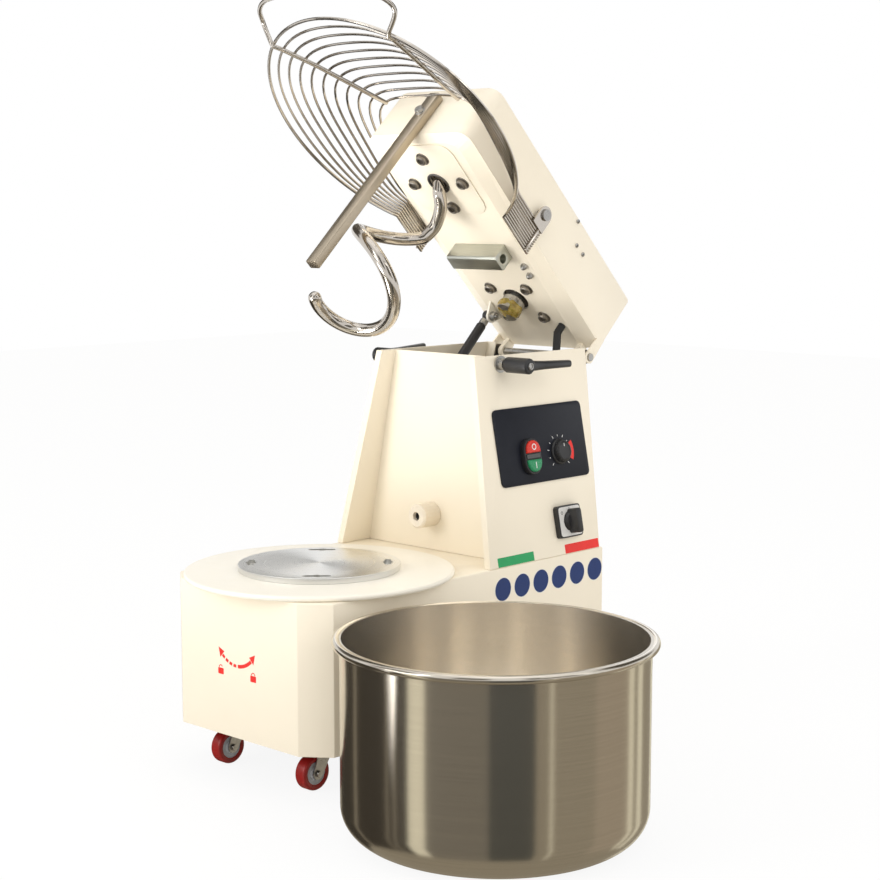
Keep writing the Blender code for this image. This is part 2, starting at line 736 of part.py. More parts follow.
def mixing_bowl():
    """Spun bowl with a rolled rim and a base pressed up to sit over the turning plate."""
    seat = PLATE_RADIUS + BOWL_SEAT_MARGIN
    outer = BOWL_RADIUS + BOWL_WALL
    inner_corner = BOWL_CORNER - BOWL_WALL
    draft = 3 * MM
    profile = [(seat, BOWL_SEAT_DEPTH), (seat + draft, 0)]
    profile += arc(outer - BOWL_CORNER, BOWL_CORNER, BOWL_CORNER, -90, 0, 4)
    profile += arc(outer + BOWL_BEAD, BOWL_HEIGHT - BOWL_BEAD, BOWL_BEAD, -150, 130, 5)
    profile += [(BOWL_RADIUS, BOWL_HEIGHT - 1 * MM)]
    profile += arc(BOWL_RADIUS - inner_corner, BOWL_CORNER, inner_corner, 0, -90, 3)
    profile += [(seat + 2 * draft, BOWL_WALL), (seat + draft, BOWL_SEAT_DEPTH + BOWL_WALL)]
    return lathe(profile, 40)


def bowl_lock_ring():
    """Ring of headed studs under the bowl that hook into the plate's keyholes."""
    high = BOWL_SEAT_DEPTH - CLEARANCE
    low = high - LOCK_RING_THICKNESS
    tip = BOWL_SEAT_DEPTH - STUD_LENGTH
    head_top = tip + LOCK_RING_THICKNESS
    half = LOCK_RING_WIDTH / 2
    ring = lathe([(KEYHOLE_RING - half, low), (KEYHOLE_RING + half, low), (KEYHOLE_RING + half, high),
                  (KEYHOLE_RING - half, high)], 24, ring=True)
    for k in range(KEYHOLES):
        stud = lathe([(STUD_HEAD, tip), (STUD_HEAD, head_top), (STUD_RADIUS, head_top),
                      (STUD_RADIUS, high - LOCK_RING_THICKNESS / 2)], 6)
        turn = Matrix.Rotation(2 * math.pi * (k + 0.5) / KEYHOLES, 4, "Z")
        ring = joined(ring, moved(shifted(stud, KEYHOLE_RING), turn))
    return ring


def caster_fork():
    """Swivelling fork with its stem and axle; the origin is on the swivel axis at the floor."""
    crown_top = BASE_BOTTOM - CHASSIS_THICKNESS - CLEARANCE
    crown_low = crown_top - 3 * MM
    inner = WHEEL_WIDTH / 2 + 2 * CLEARANCE
    crown = prism(rounded_rectangle(2 * (inner + FORK_PLATE), 40 * MM, 6 * MM, 1), crown_low, crown_top)
    stem = cylinder(CASTER_STEM, crown_top - 1 * MM, BASE_BOTTOM + CHASSIS_THICKNESS / 2, 12)
    leg = [(14 * MM, crown_top), (-14 * MM, crown_top)]
    leg += arc(-CASTER_TRAIL, WHEEL_RADIUS, 9 * MM, 180, 340, 3)
    left = side_slab(leg, -inner - FORK_PLATE, -inner)
    right = side_slab(leg, inner, inner + FORK_PLATE)
    reach = inner + FORK_PLATE + 2 * MM
    axle = shifted(along_x(cylinder(CASTER_AXLE, -reach, reach, 8)), 0, -CASTER_TRAIL, WHEEL_RADIUS)
    return joined(crown, stem, left, right, axle)


def caster_wheel():
    """Wheel with a crowned tread and dished sides; the origin is the axle's middle."""
    half = WHEEL_WIDTH / 2
    bore = CASTER_AXLE + CLEARANCE
    rim = WHEEL_RADIUS - 8 * MM
    tread = WHEEL_RADIUS - 2 * MM
    profile = [(bore, -half), (rim - 5 * MM, -half), (rim - 3 * MM, 3 * MM - half), (rim, 3 * MM - half),
               (tread, 0.5 * MM - half), (WHEEL_RADIUS, 4 * MM - half)]
    profile += [(radius, -height) for radius, height in reversed(profile)]
    return along_x(lathe(profile, 14, ring=True))


def head_outline(rear_half, front_half, rear, front, corner):
    """The head in plan, with rounded front corners; the arm runs along -Y from the hinge."""
    x = front_half - corner
    y = corner - front
    right = [(rear_half, -rear)] + arc(x, y, corner, 0, -90, 4)
    left = arc(-x, y, corner, -90, -180, 4) + [(-rear_half, -rear)]
    return right + left


def head_level(inset, height):
    """The cover's outline, set in by a wall or an edge, at a height that may vary along the arm."""
    half = HEAD_HALF_WIDTH - inset
    outline = head_outline(half, half, HEAD_REAR + inset, HEAD_FRONT - inset, HEAD_CORNER - inset)
    return [(x, y, height(-y)) for x, y in outline]


def head_top(along):
    share = (along - HEAD_REAR) / (HEAD_FRONT - HEAD_REAR)
    return HEAD_TOP_REAR + share * (HEAD_TOP_FRONT - HEAD_TOP_REAR)


def pin_way():
    reach = HEAD_HALF_WIDTH + 2 * SHEET
    return along_x(cylinder(PIN_RADIUS + CLEARANCE, -reach, reach))


def hinge_ear(x0, x1, neck_top):
    """A rounded lug round the hinge pin, with a neck up to what carries it."""
    neck = EAR_RADIUS * 0.75
    outline = [(neck, neck_top), (-neck, neck_top)] + arc(0, 0, EAR_RADIUS, 160, 380, 8)
    return side_slab(outline, x0, x1)


def head_cover():
    """Folded hood over the arm, open below, with an ear on each side for the hinge pin."""
    shell = loft([
        head_level(HEAD_TOP_EDGE, head_top),
        head_level(HEAD_TOP_EDGE * 0.3, lambda along: head_top(along) - HEAD_TOP_EDGE * 0.3),
        head_level(0, lambda along: head_top(along) - HEAD_TOP_EDGE),
        head_level(0, lambda along: HEAD_SEAM),
        head_level(SHEET, lambda along: HEAD_SEAM),
        head_level(SHEET, lambda along: head_top(along) - HEAD_TOP_EDGE),
        head_level(HEAD_TOP_EDGE, lambda along: head_top(along) - SHEET),
    ])
    inner = HEAD_HALF_WIDTH - SHEET
    neck_top = HEAD_SEAM + EAR_RADIUS
    right = hinge_ear(inner, HEAD_HALF_WIDTH, neck_top)
    left = hinge_ear(-HEAD_HALF_WIDTH, -inner, neck_top)
    return without(joined(shell, right, left), pin_way())


def arm_floor(inset, height):
    """The arm's flat underside, narrower at the hinge."""
    front = HEAD_FRONT - (HEAD_HALF_WIDTH - ARM_FRONT_HALF_WIDTH) / 2
    rear = HEAD_REAR + SHEET
    outline = head_outline(ARM_REAR_HALF_WIDTH - inset, ARM_FRONT_HALF_WIDTH - inset, rear + inset,
                           front - inset, HEAD_CORNER - inset)
    return at_height(outline, height)


def head_arm():
    """Pressed pan that closes the head from below, with bent-up edges and the hinge lugs."""
    seat = SHEET + CLEARANCE
    lip = HEAD_SEAM - CLEARANCE
    pan = loft([
        arm_floor(0, HEAD_BOTTOM),
        head_level(0, lambda along: lip - 2 * MM),
        head_level(0, lambda along: lip),
        head_level(seat, lambda along: lip),
        head_level(seat, lambda along: ARM_UPSTAND),
        head_level(seat + ARM_WALL, lambda along: ARM_UPSTAND),
        head_level(seat + ARM_WALL, lambda along: HEAD_SEAM + ARM_WALL),
        arm_floor(ARM_WALL / 2, HEAD_BOTTOM + ARM_WALL),
    ])
    lug_top = HEAD_BOTTOM + ARM_WALL / 2
    right = hinge_ear(LUG_X - LUG_WIDTH / 2, LUG_X + LUG_WIDTH / 2, lug_top)
    left = hinge_ear(-LUG_X - LUG_WIDTH / 2, LUG_WIDTH / 2 - LUG_X, lug_top)
    notch = EAR_RADIUS + CLEARANCE
    inner = HEAD_HALF_WIDTH - SHEET - CLEARANCE
    outer = HEAD_HALF_WIDTH + SHEET
    right_notch = box(inner, outer, -notch, EAR_RADIUS * 2, 0, HEAD_SEAM)
    left_notch = box(-outer, -inner, -notch, EAR_RADIUS * 2, 0, HEAD_SEAM)
    spindle_hole = shifted(cylinder(SPIRAL_SHAFT_RADIUS + SHEET, 0, HEAD_SEAM), 0, -SPIRAL_ALONG)
    clutch_hole = shifted(cylinder(CLUTCH_HOLE, 0, HEAD_SEAM), 0, -CLUTCH_ALONG)
    return without(joined(pan, right, left), right_notch, left_notch, spindle_hole, clutch_hole, pin_way())


def nose_plate():
    """Reinforcing plate round the spindle, under the nose."""
    high = HEAD_BOTTOM - CLEARANCE
    low = high - NOSE_PLATE_THICKNESS
    length = NOSE_PLATE_FRONT - NOSE_PLATE_REAR
    middle = (NOSE_PLATE_FRONT + NOSE_PLATE_REAR) / 2
    plate = prism(rounded_rectangle(2 * NOSE_PLATE_HALF_WIDTH, length, NOSE_PLATE_CORNER), low, high)
    hole = cylinder(SPIRAL_SHAFT_RADIUS + SHEET, low - SHEET, high + SHEET)
    return without(shifted(plate, 0, -middle), shifted(hole, 0, -SPIRAL_ALONG))


def shaft_housing(shaft_radius, radius, top):
    """Flanged bearing housing that stands on the arm's floor."""
    low = HEAD_BOTTOM + ARM_WALL + CLEARANCE
    bore = shaft_radius + CLEARANCE
    flange = radius + 12 * MM
    step = low + 8 * MM
    profile = [(bore, low), (flange, low), (flange, step), (radius, step), (radius, top), (bore, top)]
    return lathe(profile, 20, ring=True)


def spiral_path():
    """Centreline of the hook: out from the shaft, then a widening fall round the bowl's side."""
    path = [(0, 0, 34 * MM), (0, 0, 20 * MM)]
    for radius, height, turn in ((10, 7, 34), (30, -6, 24), (50, -26, 10)):
        angle = math.radians(SPIRAL_START + turn)
        path.append((radius * MM * math.cos(angle), -radius * MM * math.sin(angle), height * MM))
    steps = 30
    for k in range(steps + 1):
        share = k / steps
        angle = math.radians(SPIRAL_START + SPIRAL_SWEEP * share)
        height = SPIRAL_TOP - SPIRAL_DROP * math.sin(math.pi / 2 * share)
        path.append((SPIRAL_RADIUS * math.cos(angle), -SPIRAL_RADIUS * math.sin(angle), height))
    return path[:2] + smooth_path(path[1:6], 2)[1:] + path[6:]


def spiral_hook():
    """The spiral bar with the shaft that drives it; the origin is on its axis."""
    top = HEAD_CHAIN_HEIGHT + SPROCKET_WIDTH
    shaft = cylinder(SPIRAL_SHAFT_RADIUS, HEAD_BOTTOM + ARM_WALL, top)
    return joined(tube(spiral_path(), SPIRAL_BAR, 8), shaft)


def spiral_sprocket():
    low = HEAD_CHAIN_HEIGHT - SPROCKET_WIDTH / 2
    return sprocket(SPIRAL_SPROCKET_RADIUS, SPIRAL_SPROCKET_TEETH, SPIRAL_SHAFT_RADIUS + CLEARANCE, low,
                    low + SPROCKET_WIDTH)


def head_chain():
    distance = SPIRAL_ALONG - CLUTCH_ALONG
    return chain_loop(distance, SPIRAL_SPROCKET_RADIUS, CLUTCH_SPROCKET_RADIUS, HEAD_CHAIN_HEIGHT)


def head_clutch():
    """Upper half of the dog clutch on its short shaft and chain wheel."""
    hub_low = CLUTCH_BOTTOM + CLUTCH_DOG_HEIGHT
    hub_top = hub_low + 2 * CLUTCH_DOG_HEIGHT
    top = HEAD_CHAIN_HEIGHT + SPROCKET_WIDTH
    shaft = lathe([(CLUTCH_DOG_RADIUS, hub_low), (CLUTCH_DOG_RADIUS, hub_top), (CLUTCH_SHAFT_RADIUS, hub_top),
                   (CLUTCH_SHAFT_RADIUS, top)], 16)
    low = HEAD_CHAIN_HEIGHT - SPROCKET_WIDTH / 2
    wheel = sprocket(CLUTCH_SPROCKET_RADIUS, CLUTCH_SPROCKET_TEETH, 0, low, low + SPROCKET_WIDTH)
    return joined(shaft, wheel, *clutch_dogs(CLUTCH_BOTTOM, hub_low + 1 * MM, 90))


def clamp_block():
    """Aluminium block under the arm that the two clamp screws hold when the head is down."""
    edge = 3 * MM
    front = -BLOCK_ALONG - BLOCK_DEPTH / 2
    rear = front + BLOCK_DEPTH
    high = HEAD_BOTTOM - CLEARANCE
    outline = [(front, high), (front, BLOCK_BOTTOM + edge), (front + edge, BLOCK_BOTTOM)]
    outline += [(rear - edge, BLOCK_BOTTOM), (rear, BLOCK_BOTTOM + edge), (rear, high)]
    block = side_slab(outline, -BLOCK_HALF_LENGTH, BLOCK_HALF_LENGTH)
    holes = []
    for side in (-1, 1):
        hole = along_x(cylinder(CLAMP_STUD_RADIUS + CLEARANCE, -20 * MM, 20 * MM, 16))
        holes.append(shifted(hole, side * BLOCK_HALF_LENGTH, -BLOCK_ALONG, CLAMP_HEIGHT))
    return without(block, *holes)


def breaker_bar():
    bar = prism(rounded_rectangle(BAR_WIDTH, BAR_DEPTH, 2 * MM, 2), BAR_BOTTOM, BAR_TOP)
    return shifted(bar, 0, -HEAD_FRONT - CLEARANCE - BAR_DEPTH / 2)


def strut_bracket():
    """Plate under the arm's left edge with the stud that carries the gas spring."""
    inner = SPRING_X + SPRING_EYE_WIDTH / 2 + 2 * MM
    high = HEAD_BOTTOM - CLEARANCE
    outline = [(-SPRING_ALONG + 20 * MM, high), (-SPRING_ALONG - 20 * MM, high)]
    outline += arc(-SPRING_ALONG, SPRING_HEIGHT, 11 * MM, 190, 350, 8)
    plate = side_slab(outline, inner, inner + 4 * MM)
    stud = along_x(cylinder(SPRING_PIN_RADIUS, SPRING_X - SPRING_EYE_WIDTH / 2 - 4 * MM, inner + 2 * MM, 12))
    return joined(plate, shifted(stud, 0, -SPRING_ALONG, SPRING_HEIGHT))


def wire_radius(front, power):
    """Find the rounded run that reaches the front and passes through the comb corners."""
    low = GUARD_COMB_X
    high = front - GUARD_COMB_FRONT
    while high - low > 0.001 * MM:
        radius = (low + high) / 2
        behind = front - radius - GUARD_COMB_FRONT
        if (GUARD_COMB_X / radius) ** power + (behind / radius) ** power > 1:
            low = radius
        else:
            high = radius
    return radius


def wire_point(k, angle):
    """A point of guard wire k; half a pi is its front, and inner wires are squarer."""
    share = k / (GUARD_WIRES - 1)
    front = GUARD_FRONT_OUTER + share * (GUARD_FRONT_INNER - GUARD_FRONT_OUTER)
    front_height = GUARD_FRONT_LOW + share * (GUARD_FRONT_HIGH - GUARD_FRONT_LOW)
    comb_height = share * GUARD_COMB_HIGH
    power = 2 + 2 * share
    radius = wire_radius(front, power)
    across = math.copysign(abs(math.cos(angle)) ** (2 / power), math.cos(angle))
    ahead = math.copysign(abs(math.sin(angle)) ** (2 / power), math.sin(angle))
    along = front - radius + radius * ahead
    rise = (along - GUARD_COMB_FRONT) / (front - GUARD_COMB_FRONT)
    return Vector((radius * across, -along, comb_height + rise * (front_height - comb_height)))


def wire_start(k):
    """The angle at which guard wire k leaves its comb."""
    low = -math.pi / 2
    high = 0.0
    while high - low > 0.0001:
        middle = (low + high) / 2
        if wire_point(k, middle).y > -GUARD_COMB_FRONT:
            low = middle
        else:
            high = middle
    return high


def guard_wire(k):
    """One wire: a straight comb tail, the run round the front and the other tail."""
    start = wire_start(k)
    steps = 17 - k // 3
    run = [wire_point(k, start + (math.pi - 2 * start) * s / steps) for s in range(steps + 1)]
    tail = Vector((0, GUARD_COMB_FRONT - GUARD_COMB_REAR, 0))
    path = [run[0] + tail] + run + [run[-1] + tail]
    radius = GUARD_RING_RADIUS if k == 0 else GUARD_WIRE_RADIUS
    return tube(path, radius, 5)


def guard_handle():
    """One bar: out under the wires, round the handle and back under them."""
    right = []
    for k in reversed(range(GUARD_WIRES)):
        share = k / (GUARD_WIRES - 1)
        x = GUARD_ROD_OUTER_X + share * (GUARD_ROD_INNER_X - GUARD_ROD_OUTER_X)
        low = 0.0
        high = math.pi / 2
        while high - low > 0.0001:
            middle = (low + high) / 2
            if wire_point(k, middle).x > x:
                low = middle
            else:
                high = middle
        right.append(wire_point(k, high) - Vector((0, 0, GUARD_ROD_RADIUS)))
    front = GUARD_HANDLE_FRONT
    height = GUARD_HANDLE_HEIGHT
    bend = [(GUARD_HANDLE_X, 45 * MM - front, height), (GUARD_HANDLE_X - 14 * MM, 18 * MM - front, height),
            (GUARD_HANDLE_X - 50 * MM, 3 * MM - front, height), (0, -front, height)]
    loop = smooth_path([right[-1]] + bend + [(-x, y, z) for x, y, z in reversed(bend[:-1])]
                       + [Vector((-right[-1].x, right[-1].y, right[-1].z))], 3)
    rod = right[:-1:3]
    other_rod = [Vector((-p.x, p.y, p.z)) for p in reversed(rod)]
    return tube(rod + loop + other_rod, GUARD_ROD_RADIUS, 5)


def guard_plate_face():
    """Inner face of the side plates: just outside the comb, and the cross wires join the two."""
    return GUARD_COMB_X + GUARD_RING_RADIUS + CLEARANCE


def guard_plate(side):
    """Side plate that the comb is welded to, with the pivot hole."""
    outline = arc(-GUARD_PIVOT_ALONG, GUARD_PIVOT_HEIGHT, 14 * MM, 0, 180, 6)
    outline += [(-GUARD_COMB_FRONT + 14 * MM, GUARD_COMB_HIGH * 0.4), (-GUARD_COMB_FRONT + 14 * MM, -2 * MM),
                (-GUARD_COMB_REAR - 6 * MM, -2 * MM)]
    inner = guard_plate_face()
    return side_slab(outline, side * inner, side * (inner + GUARD_PLATE_THICKNESS))


def guard_grid():
    """Wire guard round the bowl's mouth; the origin is on its hinge axis."""
    wires = bmesh.new()
    for k in range(GUARD_WIRES):
        wires.from_mesh(guard_wire(k))
    grid = mesh_of(wires)
    extras = [guard_handle()]
    for side in (-1, 1):
        extras.append(guard_plate(side))
        x = side * (GUARD_COMB_X + GUARD_WIRE_RADIUS * 1.5)
        y = -GUARD_COMB_REAR - 8 * MM
        extras.append(tube([(x, y, -1 * MM), (x, y, GUARD_COMB_HIGH + 1 * MM)], GUARD_WIRE_RADIUS, 4))
    reach = 2 * GUARD_COMB_X
    hole = along_x(cylinder(GUARD_PIVOT_RADIUS + CLEARANCE, -reach, reach, 16))
    grid = without(joined(grid, *extras), shifted(hole, 0, -GUARD_PIVOT_ALONG, GUARD_PIVOT_HEIGHT))
    return shifted(grid, 0, GUARD_PIVOT_ALONG, -GUARD_PIVOT_HEIGHT)


def guard_pin(side):
    """Shouldered screw that the guard's side plate turns on."""
    foot = HEAD_HALF_WIDTH + CLEARANCE
    inner = guard_plate_face() - CLEARANCE
    outer = guard_plate_face() + GUARD_PLATE_THICKNESS + CLEARANCE
    foot_radius = GUARD_PIVOT_HEAD - 1 * MM
    profile = [(foot_radius, foot), (foot_radius, inner)]
    profile += [(GUARD_PIVOT_RADIUS, inner), (GUARD_PIVOT_RADIUS, outer)]
    profile += [(GUARD_PIVOT_HEAD, outer), (GUARD_PIVOT_HEAD, outer + GUARD_PLATE_THICKNESS)]
    pin = along_x(lathe(profile, 16))
    if side < 0:
        pin = moved(pin, Matrix.Scale(-1, 4, (1, 0, 0)))
    return shifted(pin, 0, -GUARD_PIVOT_ALONG, GUARD_PIVOT_HEIGHT)


def clamp_lever(side, inner, rise):
    """Clamp screw with its hub and lever arm; the origin is on the screw's axis."""
    edge = CLAMP_HUB_EDGE
    outer = inner + CLAMP_HUB_LENGTH
    middle = outer - CLAMP_ARM_ROOT / 2
    screw = along_x(cylinder(CLAMP_STUD_RADIUS, CLAMP_STUD_INNER, inner + edge / 2, 16))
    profile = [(CLAMP_HUB_RADIUS - edge, inner), (CLAMP_HUB_RADIUS, inner + edge)]
    profile += [(CLAMP_HUB_RADIUS, outer - edge / 2), (CLAMP_HUB_RADIUS - edge / 2, outer)]
    hub = along_x(lathe(profile, 16))
    loops = []
    for share, height in ((0, CLAMP_ARM_ROOT), (0.4, CLAMP_ARM_TIP + edge / 2), (1, CLAMP_ARM_TIP)):
        outline = rounded_rectangle(CLAMP_ARM_TIP, height, edge, 2)
        loops.append([(middle + x, share * CLAMP_ARM_LENGTH, share * rise + z) for x, z in outline])
    lever = joined(screw, hub, loft(loops))
    if side < 0:
        lever = moved(lever, Matrix.Scale(-1, 4, (1, 0, 0)))
    return lever


def spring_ends():
    """The gas spring's two pivots, as (y, z), with the head raised."""
    turn = math.radians(HEAD_RAISED)
    y = HINGE_Y - SPRING_ALONG * math.cos(turn) + SPRING_HEIGHT * math.sin(turn)
    z = HINGE_Z + SPRING_ALONG * math.sin(turn) + SPRING_HEIGHT * math.cos(turn)
    return (y, z), (SPRING_ANCHOR_Y, SPRING_ANCHOR_Z)


def spring_eye():
    half = SPRING_EYE_WIDTH / 2
    return along_x(cylinder(SPRING_EYE_RADIUS, -half, half, 16))


def spring_eye_hole():
    return along_x(cylinder(SPRING_PIN_RADIUS + CLEARANCE, -SPRING_EYE_WIDTH, SPRING_EYE_WIDTH, 16))


def gas_spring_tube():
    """Gas spring's cylinder, hanging from its eye; the origin is the eye."""
    bore = SPRING_ROD_RADIUS + CLEARANCE
    neck = SPRING_EYE_RADIUS * 0.6
    edge = 1 * MM
    profile = [(bore, -SPRING_TUBE_START - 8 * MM), (bore, -SPRING_TUBE_END)]
    profile += [(SPRING_TUBE_RADIUS - edge, -SPRING_TUBE_END), (SPRING_TUBE_RADIUS, edge - SPRING_TUBE_END)]
    profile += [(SPRING_TUBE_RADIUS, -SPRING_TUBE_START - 2 * MM), (neck, -SPRING_TUBE_START)]
    profile += [(neck, -4 * MM)]
    return without(joined(lathe(profile, 12), spring_eye()), spring_eye_hole())


def gas_spring_rod():
    rod = cylinder(SPRING_ROD_RADIUS, 4 * MM, SPRING_ROD_LENGTH, 12)
    return without(joined(rod, spring_eye()), spring_eye_hole())


def gas_spring_anchor():
    """Angle on the front panel's inside; the spring's lower eye works beside its lug."""
    face = COLUMN_PANEL_Y + SHEET + CLEARANCE
    near = SPRING_X + SPRING_EYE_WIDTH / 2 + 2 * CLEARANCE
    z = SPRING_ANCHOR_Z
    foot = box(near, near + 30 * MM, face, face + 4 * MM, z - 18 * MM, z + 18 * MM)
    outline = [(face, z - 14 * MM), (face, z + 14 * MM)] + arc(SPRING_ANCHOR_Y, z, 11 * MM, 80, -80, 8)
    return joined(foot, side_slab(outline, near, near + 4 * MM))


def control_face_matrix():
    """Frame on the tilted right cheek: X to the back, Y up the slope, Z outwards."""
    half = column_level(PANEL_Z)[0]
    lean = math.atan2(BASE_HALF_WIDTH - COLUMN_TOP_HALF_WIDTH, COLUMN_TOP - BASE_TOP)
    rows = ((0, -math.sin(lean), math.cos(lean)), (1, 0, 0), (0, math.cos(lean), math.sin(lean)))
    return Matrix.Translation((half, PANEL_Y, PANEL_Z)) @ Matrix(rows).to_4x4()


def control_panel():
    outline = rounded_rectangle(PANEL_WIDTH, PANEL_HEIGHT, PANEL_CORNER)
    return prism(outline, CLEARANCE, CLEARANCE + PANEL_THICKNESS)


def panel_top():
    return PANEL_THICKNESS + 2 * CLEARANCE


def switch_outline(inset):
    """Round-ended face of the switch."""
    width = SWITCH_WIDTH - 2 * inset
    return rounded_rectangle(width, SWITCH_HEIGHT - 2 * inset, 0.49 * width, 6)


def button_outline(inset):
    """Half-round button above the lamp, with its flat side down."""
    radius = SWITCH_WIDTH / 2 - SWITCH_FRAME - inset
    middle = (SWITCH_HEIGHT - SWITCH_WIDTH) / 2
    low = LAMP_HEIGHT / 2 + LAMP_RIB + inset
    return [(-radius, low), (radius, low)] + arc(0, middle, radius, 0, 180, 10)


def lamp_outline(inset):
    width = SWITCH_WIDTH - 2 * SWITCH_FRAME - 2 * inset
    return rounded_rectangle(width, LAMP_HEIGHT - 2 * inset, 1 * MM, 2)


def half_turn(mesh):
    return moved(mesh, Matrix.Rotation(math.pi, 4, "Z"))


def switch_bezel():
    """Frame of the twin push-button, open for both buttons and the lamp."""
    low = panel_top()
    high = low + SWITCH_DEPTH
    frame = prism(switch_outline(0), low, high)
    opening = prism(button_outline(0), low - SHEET, high + SHEET)
    lamp_way = prism(lamp_outline(0), low - SHEET, high + SHEET)
    return without(frame, opening, half_turn(opening.copy()), lamp_way)


def push_button():
    low = panel_top() + BUTTON_TRAVEL + 2 * CLEARANCE
    high = panel_top() + SWITCH_DEPTH + BUTTON_STAND
    outer = button_outline(CLEARANCE)
    inner = button_outline(CLEARANCE + BUTTON_EDGE)
    return loft([at_height(outer, low), at_height(outer, high - BUTTON_EDGE), at_height(inner, high)])


def lamp_lens():
    return prism(lamp_outline(CLEARANCE), panel_top(), panel_top() + SWITCH_DEPTH + 1 * MM)


def timer_knob():
    """Skirted timer knob with a pointer rib."""
    skirt = 4 * MM
    body = lathe([(TIMER_RADIUS, 0), (TIMER_RADIUS, skirt), (TIMER_RADIUS - 3 * MM, skirt),
                  (TIMER_RADIUS - 4 * MM, TIMER_HEIGHT - 1 * MM), (TIMER_RADIUS - 5 * MM, TIMER_HEIGHT)], 20)
    reach = TIMER_RADIUS - 2 * MM
    rib = box(-2.5 * MM, 2.5 * MM, -reach, reach, skirt / 2, TIMER_HEIGHT + 3 * MM)
    return joined(body, rib)


def selector_plate():
    return prism(rounded_rectangle(SELECTOR_WIDTH, SELECTOR_HEIGHT, 3 * MM, 3), CLEARANCE, CLEARANCE + SHEET)


def selector_knob():
    """Rotary switch handle: a round foot with a grip bar."""
    foot = lathe([(SELECTOR_RADIUS, 0), (SELECTOR_RADIUS, 8 * MM), (SELECTOR_RADIUS - 3 * MM, 11 * MM)], 20)
    grip = prism(rounded_rectangle(11 * MM, 2 * SELECTOR_RADIUS + 8 * MM, 4 * MM, 3), 6 * MM, 25 * MM)
    return joined(foot, grip)


def control_box():
    """Electrical enclosure behind the panel."""
    high = -SHEET - CLEARANCE
    outline = rounded_rectangle(CONTROL_BOX_WIDTH, CONTROL_BOX_HEIGHT, 4 * MM, 2)
    return prism(outline, high - CONTROL_BOX_DEPTH, high)


def conduit(head_matrix):
    """Cable conduit from the control box up through the column's mouth to the arm."""
    start = head_matrix @ Vector((CONDUIT_X, -CONDUIT_ALONG, HEAD_BOTTOM - CLEARANCE))
    below = head_matrix @ Vector((CONDUIT_X, -CONDUIT_ALONG, HEAD_BOTTOM - 16 * MM))
    end = control_face_matrix() @ Vector((CONTROL_BOX_WIDTH / 2 - 8 * MM, CONTROL_BOX_HEIGHT / 2 + 2 * MM,
                                          -CONTROL_BOX_DEPTH / 2))
    above = end + Vector((-3 * MM, 3 * MM, 32 * MM))
    middle = (below + above) / 2 + Vector((0, -4 * MM, 0))
    return tube([start] + smooth_path([below, middle, above, end], 4), CONDUIT_RADIUS, 8)


